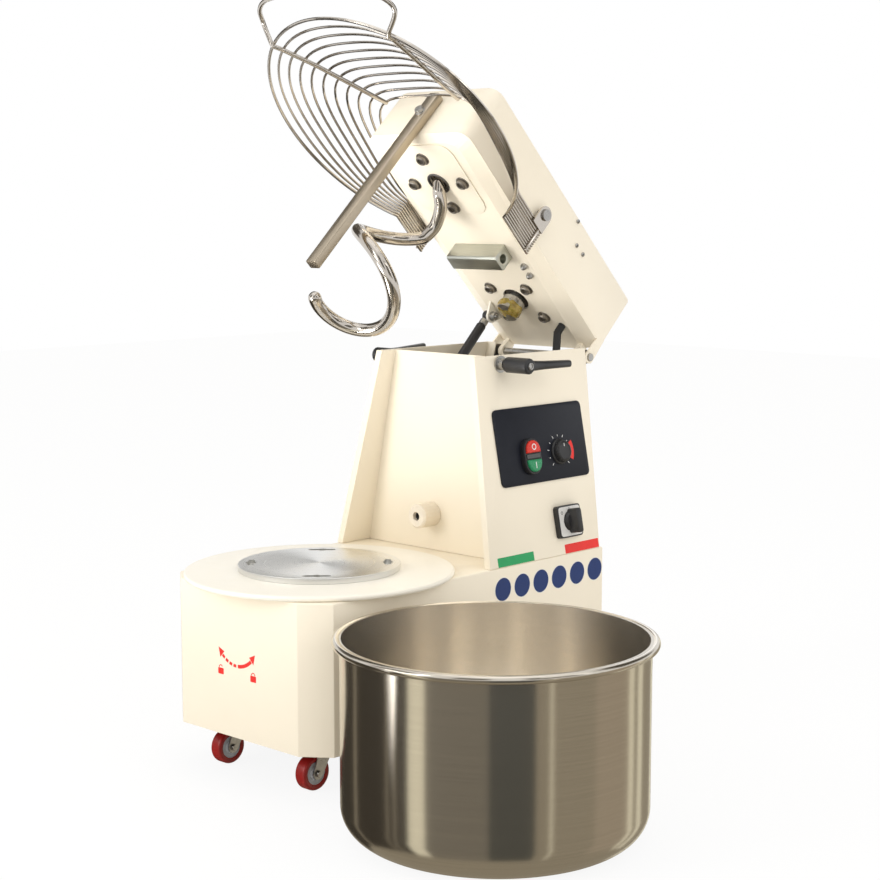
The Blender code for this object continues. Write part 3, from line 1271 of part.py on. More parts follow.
def build():
    clear_scene()
    cream = finish_material("cream_paint", (0.90, 0.82, 0.69), 0.35)
    white = finish_material("white_paint", (0.93, 0.90, 0.82), 0.32)
    steel = finish_material("polished_steel", (0.62, 0.58, 0.52), 0.16, 1.0)
    alloy = finish_material("aluminium", (0.72, 0.72, 0.70), 0.38, 1.0)
    dark_steel = finish_material("dark_steel", (0.22, 0.21, 0.20), 0.45, 1.0)
    zinc = finish_material("zinc", (0.55, 0.55, 0.54), 0.4, 1.0)
    black = finish_material("black_plastic", (0.02, 0.02, 0.022), 0.4)
    navy = finish_material("navy_plastic", (0.020, 0.021, 0.030), 0.45)
    grey = finish_material("grey_plastic", (0.35, 0.36, 0.38), 0.5)
    red = finish_material("red_plastic", (0.60, 0.04, 0.03), 0.35)
    green = finish_material("green_plastic", (0.03, 0.30, 0.12), 0.35)
    amber = finish_material("clear_lamp", (0.80, 0.78, 0.70), 0.2)
    rubber = finish_material("cream_rubber", (0.85, 0.78, 0.66), 0.7)
    tread = finish_material("red_tyre", (0.34, 0.012, 0.010), 0.4)

    machine = add_empty("machine", None, (0, 0, -PLATE_TOP))
    add_piece("chassis_plate", chassis_plate(), dark_steel, machine)
    add_piece("base_housing", base_housing(), cream, machine)
    add_piece("base_top_disc", base_top_disc(), white, machine, smooth=50)
    add_piece("column_housing", column_housing(), cream, machine)
    add_piece("column_rear_cover", column_rear_cover(), cream, machine)
    add_piece("hinge_bracket_left", hinge_bracket(-BRACKET_X), dark_steel, machine)
    add_piece("hinge_bracket_right", hinge_bracket(BRACKET_X), dark_steel, machine)
    add_piece("hinge_pin", hinge_pin(), zinc, machine, smooth=40)
    add_piece("bowl_bumper", bowl_bumper(), rubber, machine, smooth=40)
    add_piece("bowl_bearing", bowl_bearing(), dark_steel, machine, smooth=40)
    add_piece("bowl_plate", bowl_plate(), alloy, machine, smooth=40)
    add_piece("bowl_sprocket", bowl_sprocket(), dark_steel, machine)
    add_piece("bowl_chain", bowl_chain(), dark_steel, machine, smooth=30)
    add_piece("gear_motor", gear_motor(), dark_steel, machine, smooth=30)
    add_piece("drive_bearing", drive_bearing(), dark_steel, machine, smooth=30)
    add_piece("drive_shaft", drive_shaft(), zinc, machine, (0, drive_y(), 0), smooth=30)
    add_piece("mixing_bowl", mixing_bowl(), steel, machine, (BOWL_X, BOWL_Y, 0), smooth=40)
    add_piece("bowl_lock_ring", bowl_lock_ring(), zinc, machine, (BOWL_X, BOWL_Y, 0), smooth=40)
    for name, (x, y) in caster_places().items():
        swivel = add_empty("caster_" + name, machine, (x, y, 0))
        add_piece("caster_fork_" + name, caster_fork(), zinc, swivel)
        axle_place = (0, -CASTER_TRAIL, WHEEL_RADIUS)
        add_piece("caster_wheel_" + name, caster_wheel(), tread, swivel, axle_place, smooth=40)

    y, z = clamp_axis()
    wall = column_level(z)[0]
    right_lever = clamp_lever(1, wall + CLAMP_HUB_RIGHT, CLAMP_ARM_RISE_RIGHT)
    left_lever = clamp_lever(-1, wall + CLAMP_HUB_LEFT, CLAMP_ARM_RISE_LEFT)
    add_piece("clamp_lever_right", right_lever, black, machine, (0, y, z), smooth=35)
    add_piece("clamp_lever_left", left_lever, black, machine, (0, y, z), smooth=35)

    (head_y, head_z), (foot_y, foot_z) = spring_ends()
    lean = (math.atan2(foot_y - head_y, head_z - foot_z), 0, 0)
    tube_place = (SPRING_X, head_y, head_z)
    add_piece("gas_spring_tube", gas_spring_tube(), black, machine, tube_place, lean, smooth=40)
    add_piece("gas_spring_rod", gas_spring_rod(), zinc, machine, (SPRING_X, foot_y, foot_z), lean, smooth=40)
    add_piece("gas_spring_anchor", gas_spring_anchor(), dark_steel, machine)

    face = control_face_matrix()
    panel = add_empty("control_face", machine, face.translation, face.to_euler())
    add_piece("control_panel", control_panel(), navy, panel)
    add_piece("control_box", control_box(), grey, panel)
    switch = add_empty("switch", panel, (SWITCH_ACROSS, SWITCH_UP, 0))
    add_piece("switch_bezel", switch_bezel(), black, switch)
    add_piece("lamp_lens", lamp_lens(), amber, switch)
    add_piece("stop_button", push_button(), red, switch)
    add_piece("start_button", half_turn(push_button()), green, switch)
    add_piece("timer_knob", timer_knob(), black, panel, (TIMER_ACROSS, TIMER_UP, panel_top()), smooth=40)
    add_piece("selector_plate", selector_plate(), grey, panel, (SELECTOR_ACROSS, SELECTOR_UP, 0))
    selector_place = (SELECTOR_ACROSS, SELECTOR_UP, 2 * CLEARANCE + SHEET)
    add_piece("selector_knob", selector_knob(), black, panel, selector_place, smooth=40)

    raised = Matrix.Translation((0, HINGE_Y, HINGE_Z)) @ Matrix.Rotation(math.radians(-HEAD_RAISED), 4, "X")
    add_piece("conduit", conduit(raised), black, machine, smooth=50)
    head = add_empty("head_hinge", machine, raised.translation, raised.to_euler())
    add_piece("head_cover", head_cover(), cream, head, smooth=30)
    add_piece("head_arm", head_arm(), cream, head, smooth=20)
    add_piece("nose_plate", nose_plate(), cream, head)
    add_piece("clamp_block", clamp_block(), alloy, head)
    add_piece("breaker_bar", breaker_bar(), steel, head)
    add_piece("strut_bracket", strut_bracket(), cream, head, smooth=30)
    spindle = add_empty("spindle", head, (0, -SPIRAL_ALONG, 0))
    housing = shaft_housing(SPIRAL_SHAFT_RADIUS, SPINDLE_HOUSING_RADIUS, SPINDLE_HOUSING_TOP)
    add_piece("spindle_bearing", housing, dark_steel, spindle, smooth=30)
    add_piece("spiral_hook", spiral_hook(), steel, spindle, smooth=45)
    add_piece("spiral_sprocket", spiral_sprocket(), dark_steel, spindle)
    add_piece("head_chain", head_chain(), dark_steel, spindle, smooth=30)
    clutch = add_empty("clutch", head, (0, -CLUTCH_ALONG, 0))
    housing = shaft_housing(CLUTCH_SHAFT_RADIUS, CLUTCH_HOUSING_RADIUS, SPINDLE_HOUSING_TOP)
    add_piece("clutch_bearing", housing, dark_steel, clutch, smooth=30)
    add_piece("head_clutch", head_clutch(), zinc, clutch, smooth=30)
    add_piece("guard_pin_left", guard_pin(-1), zinc, head, smooth=30)
    add_piece("guard_pin_right", guard_pin(1), zinc, head, smooth=30)
    add_piece("guard_grid", guard_grid(), steel, head, (0, -GUARD_PIVOT_ALONG, GUARD_PIVOT_HEIGHT), smooth=50)


build()
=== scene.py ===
"""Looks of a spiral dough mixer with a raised head: surfaces, fasteners, marks, finishes, light, camera.

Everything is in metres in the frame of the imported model: the origin is the centre of the bowl seat,
+X is the control side, -Y the front and +Z up. Head pieces are placed by their distance along the arm
from the hinge and their height above the hinge line, as the head lies when lowered.
"""

import json
import math

import bmesh
import bpy
from mathutils import Matrix, Vector

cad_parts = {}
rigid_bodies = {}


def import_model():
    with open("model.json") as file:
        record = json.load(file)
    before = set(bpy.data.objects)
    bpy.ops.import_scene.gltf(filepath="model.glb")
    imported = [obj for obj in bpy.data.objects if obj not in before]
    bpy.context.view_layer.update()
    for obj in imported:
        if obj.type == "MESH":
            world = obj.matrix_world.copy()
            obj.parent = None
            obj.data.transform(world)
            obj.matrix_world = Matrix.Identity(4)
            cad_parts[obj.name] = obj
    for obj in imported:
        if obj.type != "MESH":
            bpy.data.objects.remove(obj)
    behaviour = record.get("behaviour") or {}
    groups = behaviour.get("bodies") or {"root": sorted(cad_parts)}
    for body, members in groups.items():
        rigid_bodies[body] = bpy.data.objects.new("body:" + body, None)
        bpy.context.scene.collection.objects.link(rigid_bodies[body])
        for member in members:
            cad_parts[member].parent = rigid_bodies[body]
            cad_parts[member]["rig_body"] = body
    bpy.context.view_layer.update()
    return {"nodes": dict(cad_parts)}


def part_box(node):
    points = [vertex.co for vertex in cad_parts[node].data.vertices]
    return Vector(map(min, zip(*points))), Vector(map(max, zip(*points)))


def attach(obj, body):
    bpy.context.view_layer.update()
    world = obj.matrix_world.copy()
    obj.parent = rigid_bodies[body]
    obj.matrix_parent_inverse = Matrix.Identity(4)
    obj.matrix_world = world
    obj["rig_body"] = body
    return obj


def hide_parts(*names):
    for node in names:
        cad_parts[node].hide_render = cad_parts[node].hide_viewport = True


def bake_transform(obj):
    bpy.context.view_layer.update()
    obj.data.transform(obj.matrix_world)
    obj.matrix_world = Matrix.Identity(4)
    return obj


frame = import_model()

MM = 0.001

# Places shared with the model
FLOOR = -298.1 * MM
HINGE_Y = 493 * MM
HINGE_Z = 277.4 * MM
HEAD_RAISED = math.radians(46)
HEAD_HALF_WIDTH = 105 * MM
HEAD_BOTTOM = 20 * MM
HEAD_FRONT = 453 * MM
CONTROL_CENTRE = Vector((131.15 * MM, 343.5 * MM, 154.9 * MM))
CONTROL_LEAN = math.atan2(61, 310)

# Camera of the photograph
CAMERA_PLACE = (1.9386, -1.7847, 0.5167)
CAMERA_TILT = math.radians(82.71)
CAMERA_TURN = math.radians(43.53)
CAMERA_LENS = 74.74


def head_point(x, along, height):
    """A point given in the lowered head's own frame, at its raised place."""
    y = HINGE_Y - along * math.cos(HEAD_RAISED) + height * math.sin(HEAD_RAISED)
    z = HINGE_Z + along * math.sin(HEAD_RAISED) + height * math.cos(HEAD_RAISED)
    return Vector((x, y, z))


def head_matrix(x, along, height):
    """Frame on the head: X across, Y to the hinge, Z up out of the head's top."""
    turn = Matrix.Rotation(-HEAD_RAISED, 4, "X")
    return Matrix.Translation(head_point(x, along, height)) @ turn


def control_matrix(across=0.0, up=0.0, out=0.0):
    """Frame on the control cheek: X to the back, Y up the slope, Z outwards."""
    lean = CONTROL_LEAN
    rows = ((0, -math.sin(lean), math.cos(lean)), (1, 0, 0), (0, math.cos(lean), math.sin(lean)))
    return Matrix.Translation(CONTROL_CENTRE) @ Matrix(rows).to_4x4() @ Matrix.Translation((across, up, out))


def arc(centre_x, centre_y, radius, start, end, steps):
    """Points on an arc between two angles in degrees."""
    points = []
    for k in range(steps + 1):
        angle = math.radians(start + (end - start) * k / steps)
        points.append((centre_x + radius * math.cos(angle), centre_y + radius * math.sin(angle)))
    return points


def rounded_rectangle(width, height, corner, steps=6):
    """Outline of a rectangle with round corners, about its centre."""
    x = width / 2 - corner
    y = height / 2 - corner
    return (arc(x, y, corner, 0, 90, steps) + arc(-x, y, corner, 90, 180, steps)
            + arc(-x, -y, corner, 180, 270, steps) + arc(x, -y, corner, 270, 360, steps))


def lathe(profile, segments, closed=False):
    """Turn a profile of (radius, height) points about Z; an open profile gets a point or cap at each end."""
    shape = bmesh.new()
    rings = []
    for radius, height in profile:
        ring = []
        for k in range(segments):
            angle = 2 * math.pi * k / segments
            ring.append(shape.verts.new((radius * math.cos(angle), radius * math.sin(angle), height)))
        rings.append(ring)
    pairs = list(zip(rings, rings[1:]))
    if closed:
        pairs.append((rings[-1], rings[0]))
    for low, high in pairs:
        for k in range(segments):
            after = (k + 1) % segments
            shape.faces.new((low[k], low[after], high[after], high[k]))
    if not closed:
        shape.faces.new(list(reversed(rings[0])))
        shape.faces.new(rings[-1])
    return shape


def prism(outline, low, high, edge=0.0):
    """Upright slab over an outline, its top edge eased by a small step inwards."""
    shape = bmesh.new()
    levels = [(1.0, low), (1.0, high)]
    reach = max(max(abs(x), abs(y)) for x, y in outline)
    if edge:
        levels = [(1.0, low), (1.0, high - edge)]
        levels += [(1 - 0.3 * edge / reach, high - 0.3 * edge), (1 - edge / reach, high)]
    rings = [[shape.verts.new((x * scale, y * scale, z)) for x, y in outline] for scale, z in levels]
    for lower, upper in zip(rings, rings[1:]):
        for k in range(len(outline)):
            after = (k + 1) % len(outline)
            shape.faces.new((lower[k], lower[after], upper[after], upper[k]))
    shape.faces.new(list(reversed(rings[0])))
    shape.faces.new(rings[-1])
    return shape


def tube(path, radius, sides, round_ends=False):
    """Round bar along a path, carried without twist; its ends are flat or domed."""
    points = [Vector(p) for p in path]
    radii = [radius] * len(points)
    if round_ends:
        first = (points[0] - points[1]).normalized()
        last = (points[-1] - points[-2]).normalized()
        caps = [(0.4, 0.92), (0.75, 0.66), (0.95, 0.3)]
        points = ([points[0] + first * radius * s for s, r in reversed(caps)] + points
                  + [points[-1] + last * radius * s for s, r in caps])
        radii = [radius * r for s, r in reversed(caps)] + radii + [radius * r for s, r in caps]
    shape = bmesh.new()
    tangent = (points[1] - points[0]).normalized()
    side = tangent.orthogonal().normalized()
    rings = []
    for k, point in enumerate(points):
        before = points[max(k - 1, 0)]
        after = points[min(k + 1, len(points) - 1)]
        tangent = (after - before).normalized()
        side = (side - tangent * side.dot(tangent)).normalized()
        other = tangent.cross(side)
        ring = []
        for s in range(sides):
            angle = 2 * math.pi * s / sides
            outward = math.cos(angle) * side + math.sin(angle) * other
            ring.append(shape.verts.new(point + radii[k] * outward))
        rings.append(ring)
    for low, high in zip(rings, rings[1:]):
        for s in range(sides):
            after = (s + 1) % sides
            shape.faces.new((low[s], low[after], high[after], high[s]))
    shape.faces.new(list(reversed(rings[0])))
    shape.faces.new(rings[-1])
    return shape


def smooth_path(points, steps):
    """Catmull-Rom curve through the points."""
    points = [Vector(p) for p in points]
    ends = [2 * points[0] - points[1]] + points + [2 * points[-1] - points[-2]]
    path = []
    for k in range(1, len(ends) - 2):
        a, b, c, d = ends[k - 1:k + 3]
        for s in range(steps):
            t = s / steps
            path.append(0.5 * (2 * b + (c - a) * t + (2 * a - 5 * b + 4 * c - d) * t * t
                               + (3 * b - a - 3 * c + d) * t * t * t))
    path.append(points[-1])
    return path


def merged(*shapes):
    """Several shapes in one, each keeping its own faces."""
    whole = bmesh.new()
    for shape in shapes:
        part = bpy.data.meshes.new("part")
        shape.to_mesh(part)
        shape.free()
        whole.from_mesh(part)
        bpy.data.meshes.remove(part)
    return whole


def placed(shape, matrix):
    shape.transform(matrix)
    return shape


def add_piece(name, shape, finish, body, sharp=35):
    """Link a shape as a named piece with a finish, smooth up to an edge angle, on a body if one is given."""
    bmesh.ops.recalc_face_normals(shape, faces=shape.faces)
    limit = math.radians(sharp)
    for face in shape.faces:
        face.smooth = True
    for edge in shape.edges:
        edge.smooth = len(edge.link_faces) == 2 and edge.calc_face_angle(0) < limit
    mesh = bpy.data.meshes.new(name)
    shape.to_mesh(mesh)
    shape.free()
    mesh.materials.append(finish)
    piece = bpy.data.objects.new(name, mesh)
    bpy.context.scene.collection.objects.link(piece)
    if body:
        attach(piece, body)
    return piece


def eased_copy(node, finish, width, segments=2, angle=25):
    """A finer stand-in for a sheet or block of the model: its shape with small round edges."""
    source = frame["nodes"][node]
    shape = bmesh.new()
    shape.from_mesh(source.data)
    bmesh.ops.remove_doubles(shape, verts=shape.verts, dist=0.00002)
    bmesh.ops.dissolve_limit(shape, angle_limit=math.radians(0.5), verts=shape.verts, edges=shape.edges)
    limit = math.radians(angle)
    edges = [e for e in shape.edges if len(e.link_faces) == 2 and e.calc_face_angle(0) > limit]
    bmesh.ops.bevel(shape, geom=edges, offset=width, offset_type="OFFSET", segments=segments, profile=0.5,
                    affect="EDGES", clamp_overlap=True)
    piece = add_piece(node + "_eased", shape, finish, source["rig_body"])
    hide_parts(node)
    return piece


def slot_of(node):
    """The material slot that a node of the model was given."""
    return node.data.materials[0].name.split(".")[0]


def new_finish(name, colour, roughness, metallic=0.0):
    """A finish with its plain values set; the functions below add its grain."""
    material = bpy.data.materials.new(name)
    material.use_nodes = True
    shader = material.node_tree.nodes["Principled BSDF"]
    shader.inputs["Base Color"].default_value = (*colour, 1)
    shader.inputs["Roughness"].default_value = roughness
    shader.inputs["Metallic"].default_value = metallic
    return material


def shader_of(material):
    return material.node_tree.nodes["Principled BSDF"]


def place_on(material, stretch=(1, 1, 1), lean=0.0):
    """Object coordinates in metres, stretched along the axes of a frame that leans about X."""
    tree = material.node_tree
    place = tree.nodes.new("ShaderNodeTexCoord")
    mapping = tree.nodes.new("ShaderNodeMapping")
    mapping.vector_type = "TEXTURE"
    mapping.inputs["Rotation"].default_value = (lean, 0, 0)
    mapping.inputs["Scale"].default_value = [1 / s for s in stretch]
    tree.links.new(place.outputs["Object"], mapping.inputs["Vector"])
    return mapping.outputs["Vector"]


def noise_on(material, scale, stretch=(1, 1, 1), detail=3.0, lean=0.0):
    """Noise with that many features to the metre."""
    tree = material.node_tree
    noise = tree.nodes.new("ShaderNodeTexNoise")
    noise.inputs["Scale"].default_value = scale
    noise.inputs["Detail"].default_value = detail
    tree.links.new(place_on(material, stretch, lean), noise.inputs["Vector"])
    return noise.outputs["Fac"]


def rings_on(material, centre, scale):
    """Noise that depends only on the distance from a vertical axis, as turning leaves it."""
    tree = material.node_tree
    shift = tree.nodes.new("ShaderNodeVectorMath")
    shift.operation = "SUBTRACT"
    shift.inputs[1].default_value = centre
    tree.links.new(place_on(material), shift.inputs[0])
    flat = tree.nodes.new("ShaderNodeVectorMath")
    flat.operation = "MULTIPLY"
    flat.inputs[1].default_value = (1, 1, 0)
    tree.links.new(shift.outputs["Vector"], flat.inputs[0])
    length = tree.nodes.new("ShaderNodeVectorMath")
    length.operation = "LENGTH"
    tree.links.new(flat.outputs["Vector"], length.inputs[0])
    noise = tree.nodes.new("ShaderNodeTexNoise")
    noise.noise_dimensions = "1D"
    noise.inputs["Scale"].default_value = scale
    noise.inputs["Detail"].default_value = 4.0
    tree.links.new(length.outputs["Value"], noise.inputs["W"])
    return noise.outputs["Fac"]


def vary_colour(material, source, low, high):
    tree = material.node_tree
    ramp = tree.nodes.new("ShaderNodeValToRGB")
    ramp.color_ramp.elements[0].position = 0.3
    ramp.color_ramp.elements[0].color = (*low, 1)
    ramp.color_ramp.elements[1].position = 0.7
    ramp.color_ramp.elements[1].color = (*high, 1)
    tree.links.new(source, ramp.inputs["Fac"])
    tree.links.new(ramp.outputs["Color"], shader_of(material).inputs["Base Color"])


def vary_roughness(material, source, low, high):
    tree = material.node_tree
    spread = tree.nodes.new("ShaderNodeMapRange")
    spread.inputs["From Min"].default_value = 0.3
    spread.inputs["From Max"].default_value = 0.7
    spread.inputs["To Min"].default_value = low
    spread.inputs["To Max"].default_value = high
    tree.links.new(source, spread.inputs["Value"])
    tree.links.new(spread.outputs["Result"], shader_of(material).inputs["Roughness"])


def add_bump(material, source, strength, depth):
    tree = material.node_tree
    bump = tree.nodes.new("ShaderNodeBump")
    bump.inputs["Strength"].default_value = strength
    bump.inputs["Distance"].default_value = depth
    tree.links.new(source, bump.inputs["Height"])
    tree.links.new(bump.outputs["Normal"], shader_of(material).inputs["Normal"])


def add_turned_shine(material, amount, turn):
    """Stretched highlights of a surface brushed round the vertical axis."""
    tree = material.node_tree
    tangent = tree.nodes.new("ShaderNodeTangent")
    tangent.direction_type = "RADIAL"
    tangent.axis = "Z"
    shader = shader_of(material)
    shader.inputs["Anisotropic"].default_value = amount
    shader.inputs["Anisotropic Rotation"].default_value = turn
    tree.links.new(tangent.outputs["Tangent"], shader.inputs["Tangent"])


def scaled(colour, share):
    return tuple(c * share for c in colour)


def paint(name, colour, roughness):
    """Powder coat: orange peel, a little uneven gloss and slight colour drift."""
    material = new_finish(name, colour, roughness)
    vary_colour(material, noise_on(material, 5, detail=4), scaled(colour, 0.975), colour)
    vary_roughness(material, noise_on(material, 60), roughness - 0.06, roughness + 0.08)
    add_bump(material, noise_on(material, 650, detail=2), 0.12, 0.0004)
    shader_of(material).inputs["Coat Weight"].default_value = 0.12
    shader_of(material).inputs["Coat Roughness"].default_value = 0.2
    return material


def brushed(name, colour, roughness, stretch, depth=0.12, lean=0.0):
    """Metal with fine lines along one axis: the axis whose stretch is small."""
    material = new_finish(name, colour, roughness, 1.0)
    lines = noise_on(material, 1, stretch, 5, lean)
    vary_colour(material, lines, scaled(colour, 0.86), colour)
    vary_roughness(material, lines, roughness - 0.05, roughness + 0.1)
    add_bump(material, lines, depth, 0.0002)
    return material


def bright_steel(name, colour, roughness):
    """Polished bar or wire: nearly smooth, with faint drawing marks."""
    material = new_finish(name, colour, roughness, 1.0)
    marks = noise_on(material, 240, detail=4)
    vary_colour(material, marks, scaled(colour, 0.95), colour)
    vary_roughness(material, marks, roughness - 0.03, roughness + 0.04)
    add_bump(material, noise_on(material, 30), 0.006, 0.0002)
    return material


def bowl_steel(name, colour, roughness):
    """Spun sheet: fine level lines that draw reflections out into upright bands."""
    material = new_finish(name, colour, roughness, 1.0)
    lines = noise_on(material, 1, (5, 5, 1400), 5)
    vary_colour(material, lines, scaled(colour, 0.9), colour)
    add_bump(material, lines, 0.05, 0.0001)
    add_turned_shine(material, 0.75, 0.25)
    return material


def turned_alloy(name, colour, roughness, centre):
    """Faced on a lathe: rings that throw wedges of light."""
    material = new_finish(name, colour, roughness, 1.0)
    rings = rings_on(material, centre, 900)
    vary_colour(material, rings, scaled(colour, 0.88), colour)
    vary_roughness(material, rings, roughness - 0.06, roughness + 0.08)
    add_bump(material, rings, 0.1, 0.0002)
    add_turned_shine(material, 0.8, 0.0)
    return material


def plastic(name, colour, roughness, grain=500, depth=0.1, shine=0.5):
    """Moulded plastic with a fine skin texture."""
    material = new_finish(name, colour, roughness)
    skin = noise_on(material, grain, detail=3)
    vary_colour(material, noise_on(material, 30), scaled(colour, 0.88), colour)
    vary_roughness(material, skin, roughness - 0.06, roughness + 0.08)
    add_bump(material, skin, depth, 0.0003)
    shader_of(material).inputs["Specular IOR Level"].default_value = shine
    return material


def print_ink(name, colour):
    """Screen-printed mark: flat, with a faintly uneven film."""
    material = new_finish(name, colour, 0.45)
    film = noise_on(material, 900, detail=2)
    vary_colour(material, noise_on(material, 120), scaled(colour, 0.92), colour)
    vary_roughness(material, film, 0.38, 0.52)
    return material


def cast_metal(name, colour, roughness):
    """Rough machined iron or plated fastener steel."""
    material = new_finish(name, colour, roughness, 1.0)
    mottling = noise_on(material, 160, detail=5)
    vary_colour(material, mottling, scaled(colour, 0.72), colour)
    vary_roughness(material, mottling, roughness - 0.08, roughness + 0.12)
    add_bump(material, noise_on(material, 800), 0.15, 0.0003)
    return material


def grease(name, colour):
    """Thick yellow grease smeared over the clutch."""
    material = new_finish(name, colour, 0.25)
    smear = noise_on(material, 140, detail=6)
    vary_colour(material, smear, scaled(colour, 0.45), colour)
    vary_roughness(material, smear, 0.12, 0.4)
    add_bump(material, smear, 0.5, 0.002)
    shader_of(material).inputs["Subsurface Weight"].default_value = 0.15
    return material


def lamp_plastic(name, colour):
    """Smoked lens with the ribs of a diffuser."""
    material = new_finish(name, colour, 0.2)
    ribs = noise_on(material, 1, (900, 60, 60), 2)
    vary_colour(material, ribs, scaled(colour, 0.6), colour)
    vary_roughness(material, ribs, 0.12, 0.3)
    add_bump(material, ribs, 0.3, 0.0004)
    shader_of(material).inputs["Coat Weight"].default_value = 0.5
    return material


def make_finishes():
    """All finishes, by material slot or by use."""
    return {
        "cream_paint": paint("cream_paint", (0.92, 0.84, 0.69), 0.4),
        "white_paint": paint("white_paint", (0.93, 0.89, 0.79), 0.36),
        "polished_steel": bright_steel("polished_steel", (0.60, 0.555, 0.50), 0.14),
        "bowl_steel": bowl_steel("bowl_steel", (0.66, 0.61, 0.53), 0.2),
        # Painted light: a brighter copy of the bowl steel for the inner faces, standing in for the light the
        # inside of the bowl catches
        "bowl_inside_painted_light": bowl_steel("bowl_inside_painted_light", (0.985, 0.93, 0.84), 0.2),
        "aluminium": brushed("aluminium", (0.58, 0.59, 0.53), 0.34, (40, 900, 900), 0.1, -HEAD_RAISED),
        "turned_aluminium": turned_alloy("turned_aluminium", (0.86, 0.855, 0.83), 0.32, (0, 0, 0)),
        "bar_steel": brushed("bar_steel", (0.56, 0.48, 0.37), 0.34, (800, 800, 12), 0.08, -HEAD_RAISED),
        "dark_steel": cast_metal("dark_steel", (0.16, 0.15, 0.14), 0.45),
        "zinc": cast_metal("zinc", (0.55, 0.54, 0.52), 0.32),
        "old_bolt": cast_metal("old_bolt", (0.36, 0.33, 0.29), 0.4),
        "black_plastic": plastic("black_plastic", (0.022, 0.022, 0.024), 0.36),
        "black_rubber": plastic("black_rubber", (0.016, 0.016, 0.016), 0.6, 260, 0.3),
        "navy_plastic": plastic("navy_plastic", (0.012, 0.014, 0.022), 0.42, 1200, 0.12, 0.25),
        "grey_plastic": plastic("grey_plastic", (0.02, 0.02, 0.022), 0.34),
        "red_plastic": plastic("red_plastic", (0.72, 0.035, 0.02), 0.28, 400, 0.05),
        "green_plastic": plastic("green_plastic", (0.02, 0.27, 0.11), 0.28, 400, 0.05),
        "clear_lamp": lamp_plastic("clear_lamp", (0.05, 0.055, 0.05)),
        "cream_rubber": plastic("cream_rubber", (0.86, 0.77, 0.63), 0.55, 500, 0.2),
        "red_tyre": plastic("red_tyre", (0.34, 0.012, 0.01), 0.34, 350, 0.12),
        "hub_plastic": plastic("hub_plastic", (0.55, 0.56, 0.58), 0.4),
        "silver_film": print_ink("silver_film", (0.70, 0.69, 0.665)),
        "red_ink": print_ink("red_ink", (0.85, 0.022, 0.016)),
        "green_ink": print_ink("green_ink", (0.012, 0.36, 0.115)),
        "blue_ink": print_ink("blue_ink", (0.008, 0.035, 0.17)),
        "white_ink": print_ink("white_ink", (0.82, 0.82, 0.80)),
        "grease": grease("grease", (0.42, 0.31, 0.07)),
    }

# Bowl, plate and disc
BOWL_X = 400 * MM
BOWL_Y = -61 * MM
BOWL_RADIUS = 200 * MM
BOWL_WALL = 2 * MM
BOWL_HEIGHT = 265 * MM
BOWL_CORNER = 45 * MM
BOWL_BEAD = 5.25 * MM
BOWL_SEAT_RADIUS = 121 * MM
BOWL_SEAT_DEPTH = 7 * MM
BOWL_DRAFT = 3 * MM
PLATE_RADIUS = 119 * MM
PLATE_THICKNESS = 8.5 * MM
KEYHOLE_RING = 100 * MM
KEYHOLE_RADIUS = 8 * MM
KEYHOLE_SLOT = 5 * MM
KEYHOLE_DEPTH = 6.8 * MM
KEYHOLE_TURN = math.radians(12)
DISC_RADIUS = 198 * MM
DISC_TOP = -8.8 * MM
DISC_THICKNESS = 8 * MM
SHAFT_RADIUS = 20 * MM
SHAFT_LENGTH = 140 * MM


def fine_bowl():
    """Spun bowl with a rolled rim and the seat pressed up in its base."""
    outer = BOWL_RADIUS + BOWL_WALL
    inner_corner = BOWL_CORNER - BOWL_WALL
    profile = [(BOWL_SEAT_RADIUS, BOWL_SEAT_DEPTH), (BOWL_SEAT_RADIUS + BOWL_DRAFT, 0)]
    profile += arc(outer - BOWL_CORNER, BOWL_CORNER, BOWL_CORNER, -90, 0, 14)
    profile += [(outer, BOWL_HEIGHT * share) for share in (0.4, 0.65, 0.85)]
    profile += arc(outer + BOWL_BEAD, BOWL_HEIGHT - BOWL_BEAD, BOWL_BEAD, -150, 130, 18)
    profile += [(BOWL_RADIUS, BOWL_HEIGHT - 1 * MM)]
    profile += [(BOWL_RADIUS, BOWL_HEIGHT * share) for share in (0.85, 0.65, 0.4)]
    profile += arc(BOWL_RADIUS - inner_corner, BOWL_CORNER, inner_corner, 0, -90, 12)
    profile += [(BOWL_SEAT_RADIUS + 2 * BOWL_DRAFT, BOWL_WALL)]
    profile += [(BOWL_SEAT_RADIUS + BOWL_DRAFT, BOWL_SEAT_DEPTH + BOWL_WALL)]
    shape = placed(lathe(profile, 160), Matrix.Translation((BOWL_X, BOWL_Y, FLOOR)))
    piece = add_piece("bowl_spun", shape, finishes["bowl_steel"], "bowl", 40)
    # Inner wall and floor faces take the brighter copy of the steel, as painted light
    piece.data.materials.append(finishes["bowl_inside_painted_light"])
    for face in piece.data.polygons:
        outward = Vector((face.center.x - BOWL_X, face.center.y - BOWL_Y))
        level = face.center.z < FLOOR + BOWL_CORNER and face.normal.z > 0.1
        if outward.dot(face.normal.xy) < -0.01 * outward.length or level:
            face.material_index = 1
    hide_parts("mixing_bowl")


def keyhole_cutters():
    """Round hole and curved slot for each stud of the bowl."""
    floor = -KEYHOLE_DEPTH
    above = 2 * MM
    cutters = []
    for k in range(4):
        turn = Matrix.Rotation(math.pi * (k + 0.5) / 2, 4, "Z")
        hole = prism(arc(0, 0, KEYHOLE_RADIUS, 0, 345, 23), floor, above)
        reach = KEYHOLE_RING * KEYHOLE_TURN
        slot = prism(rounded_rectangle(2 * KEYHOLE_SLOT, 2 * reach, KEYHOLE_SLOT - 0.01 * MM), floor, above)
        for shape in (hole, slot):
            cutters.append(placed(shape, turn @ Matrix.Translation((KEYHOLE_RING, 0, 0))))
    return cutters


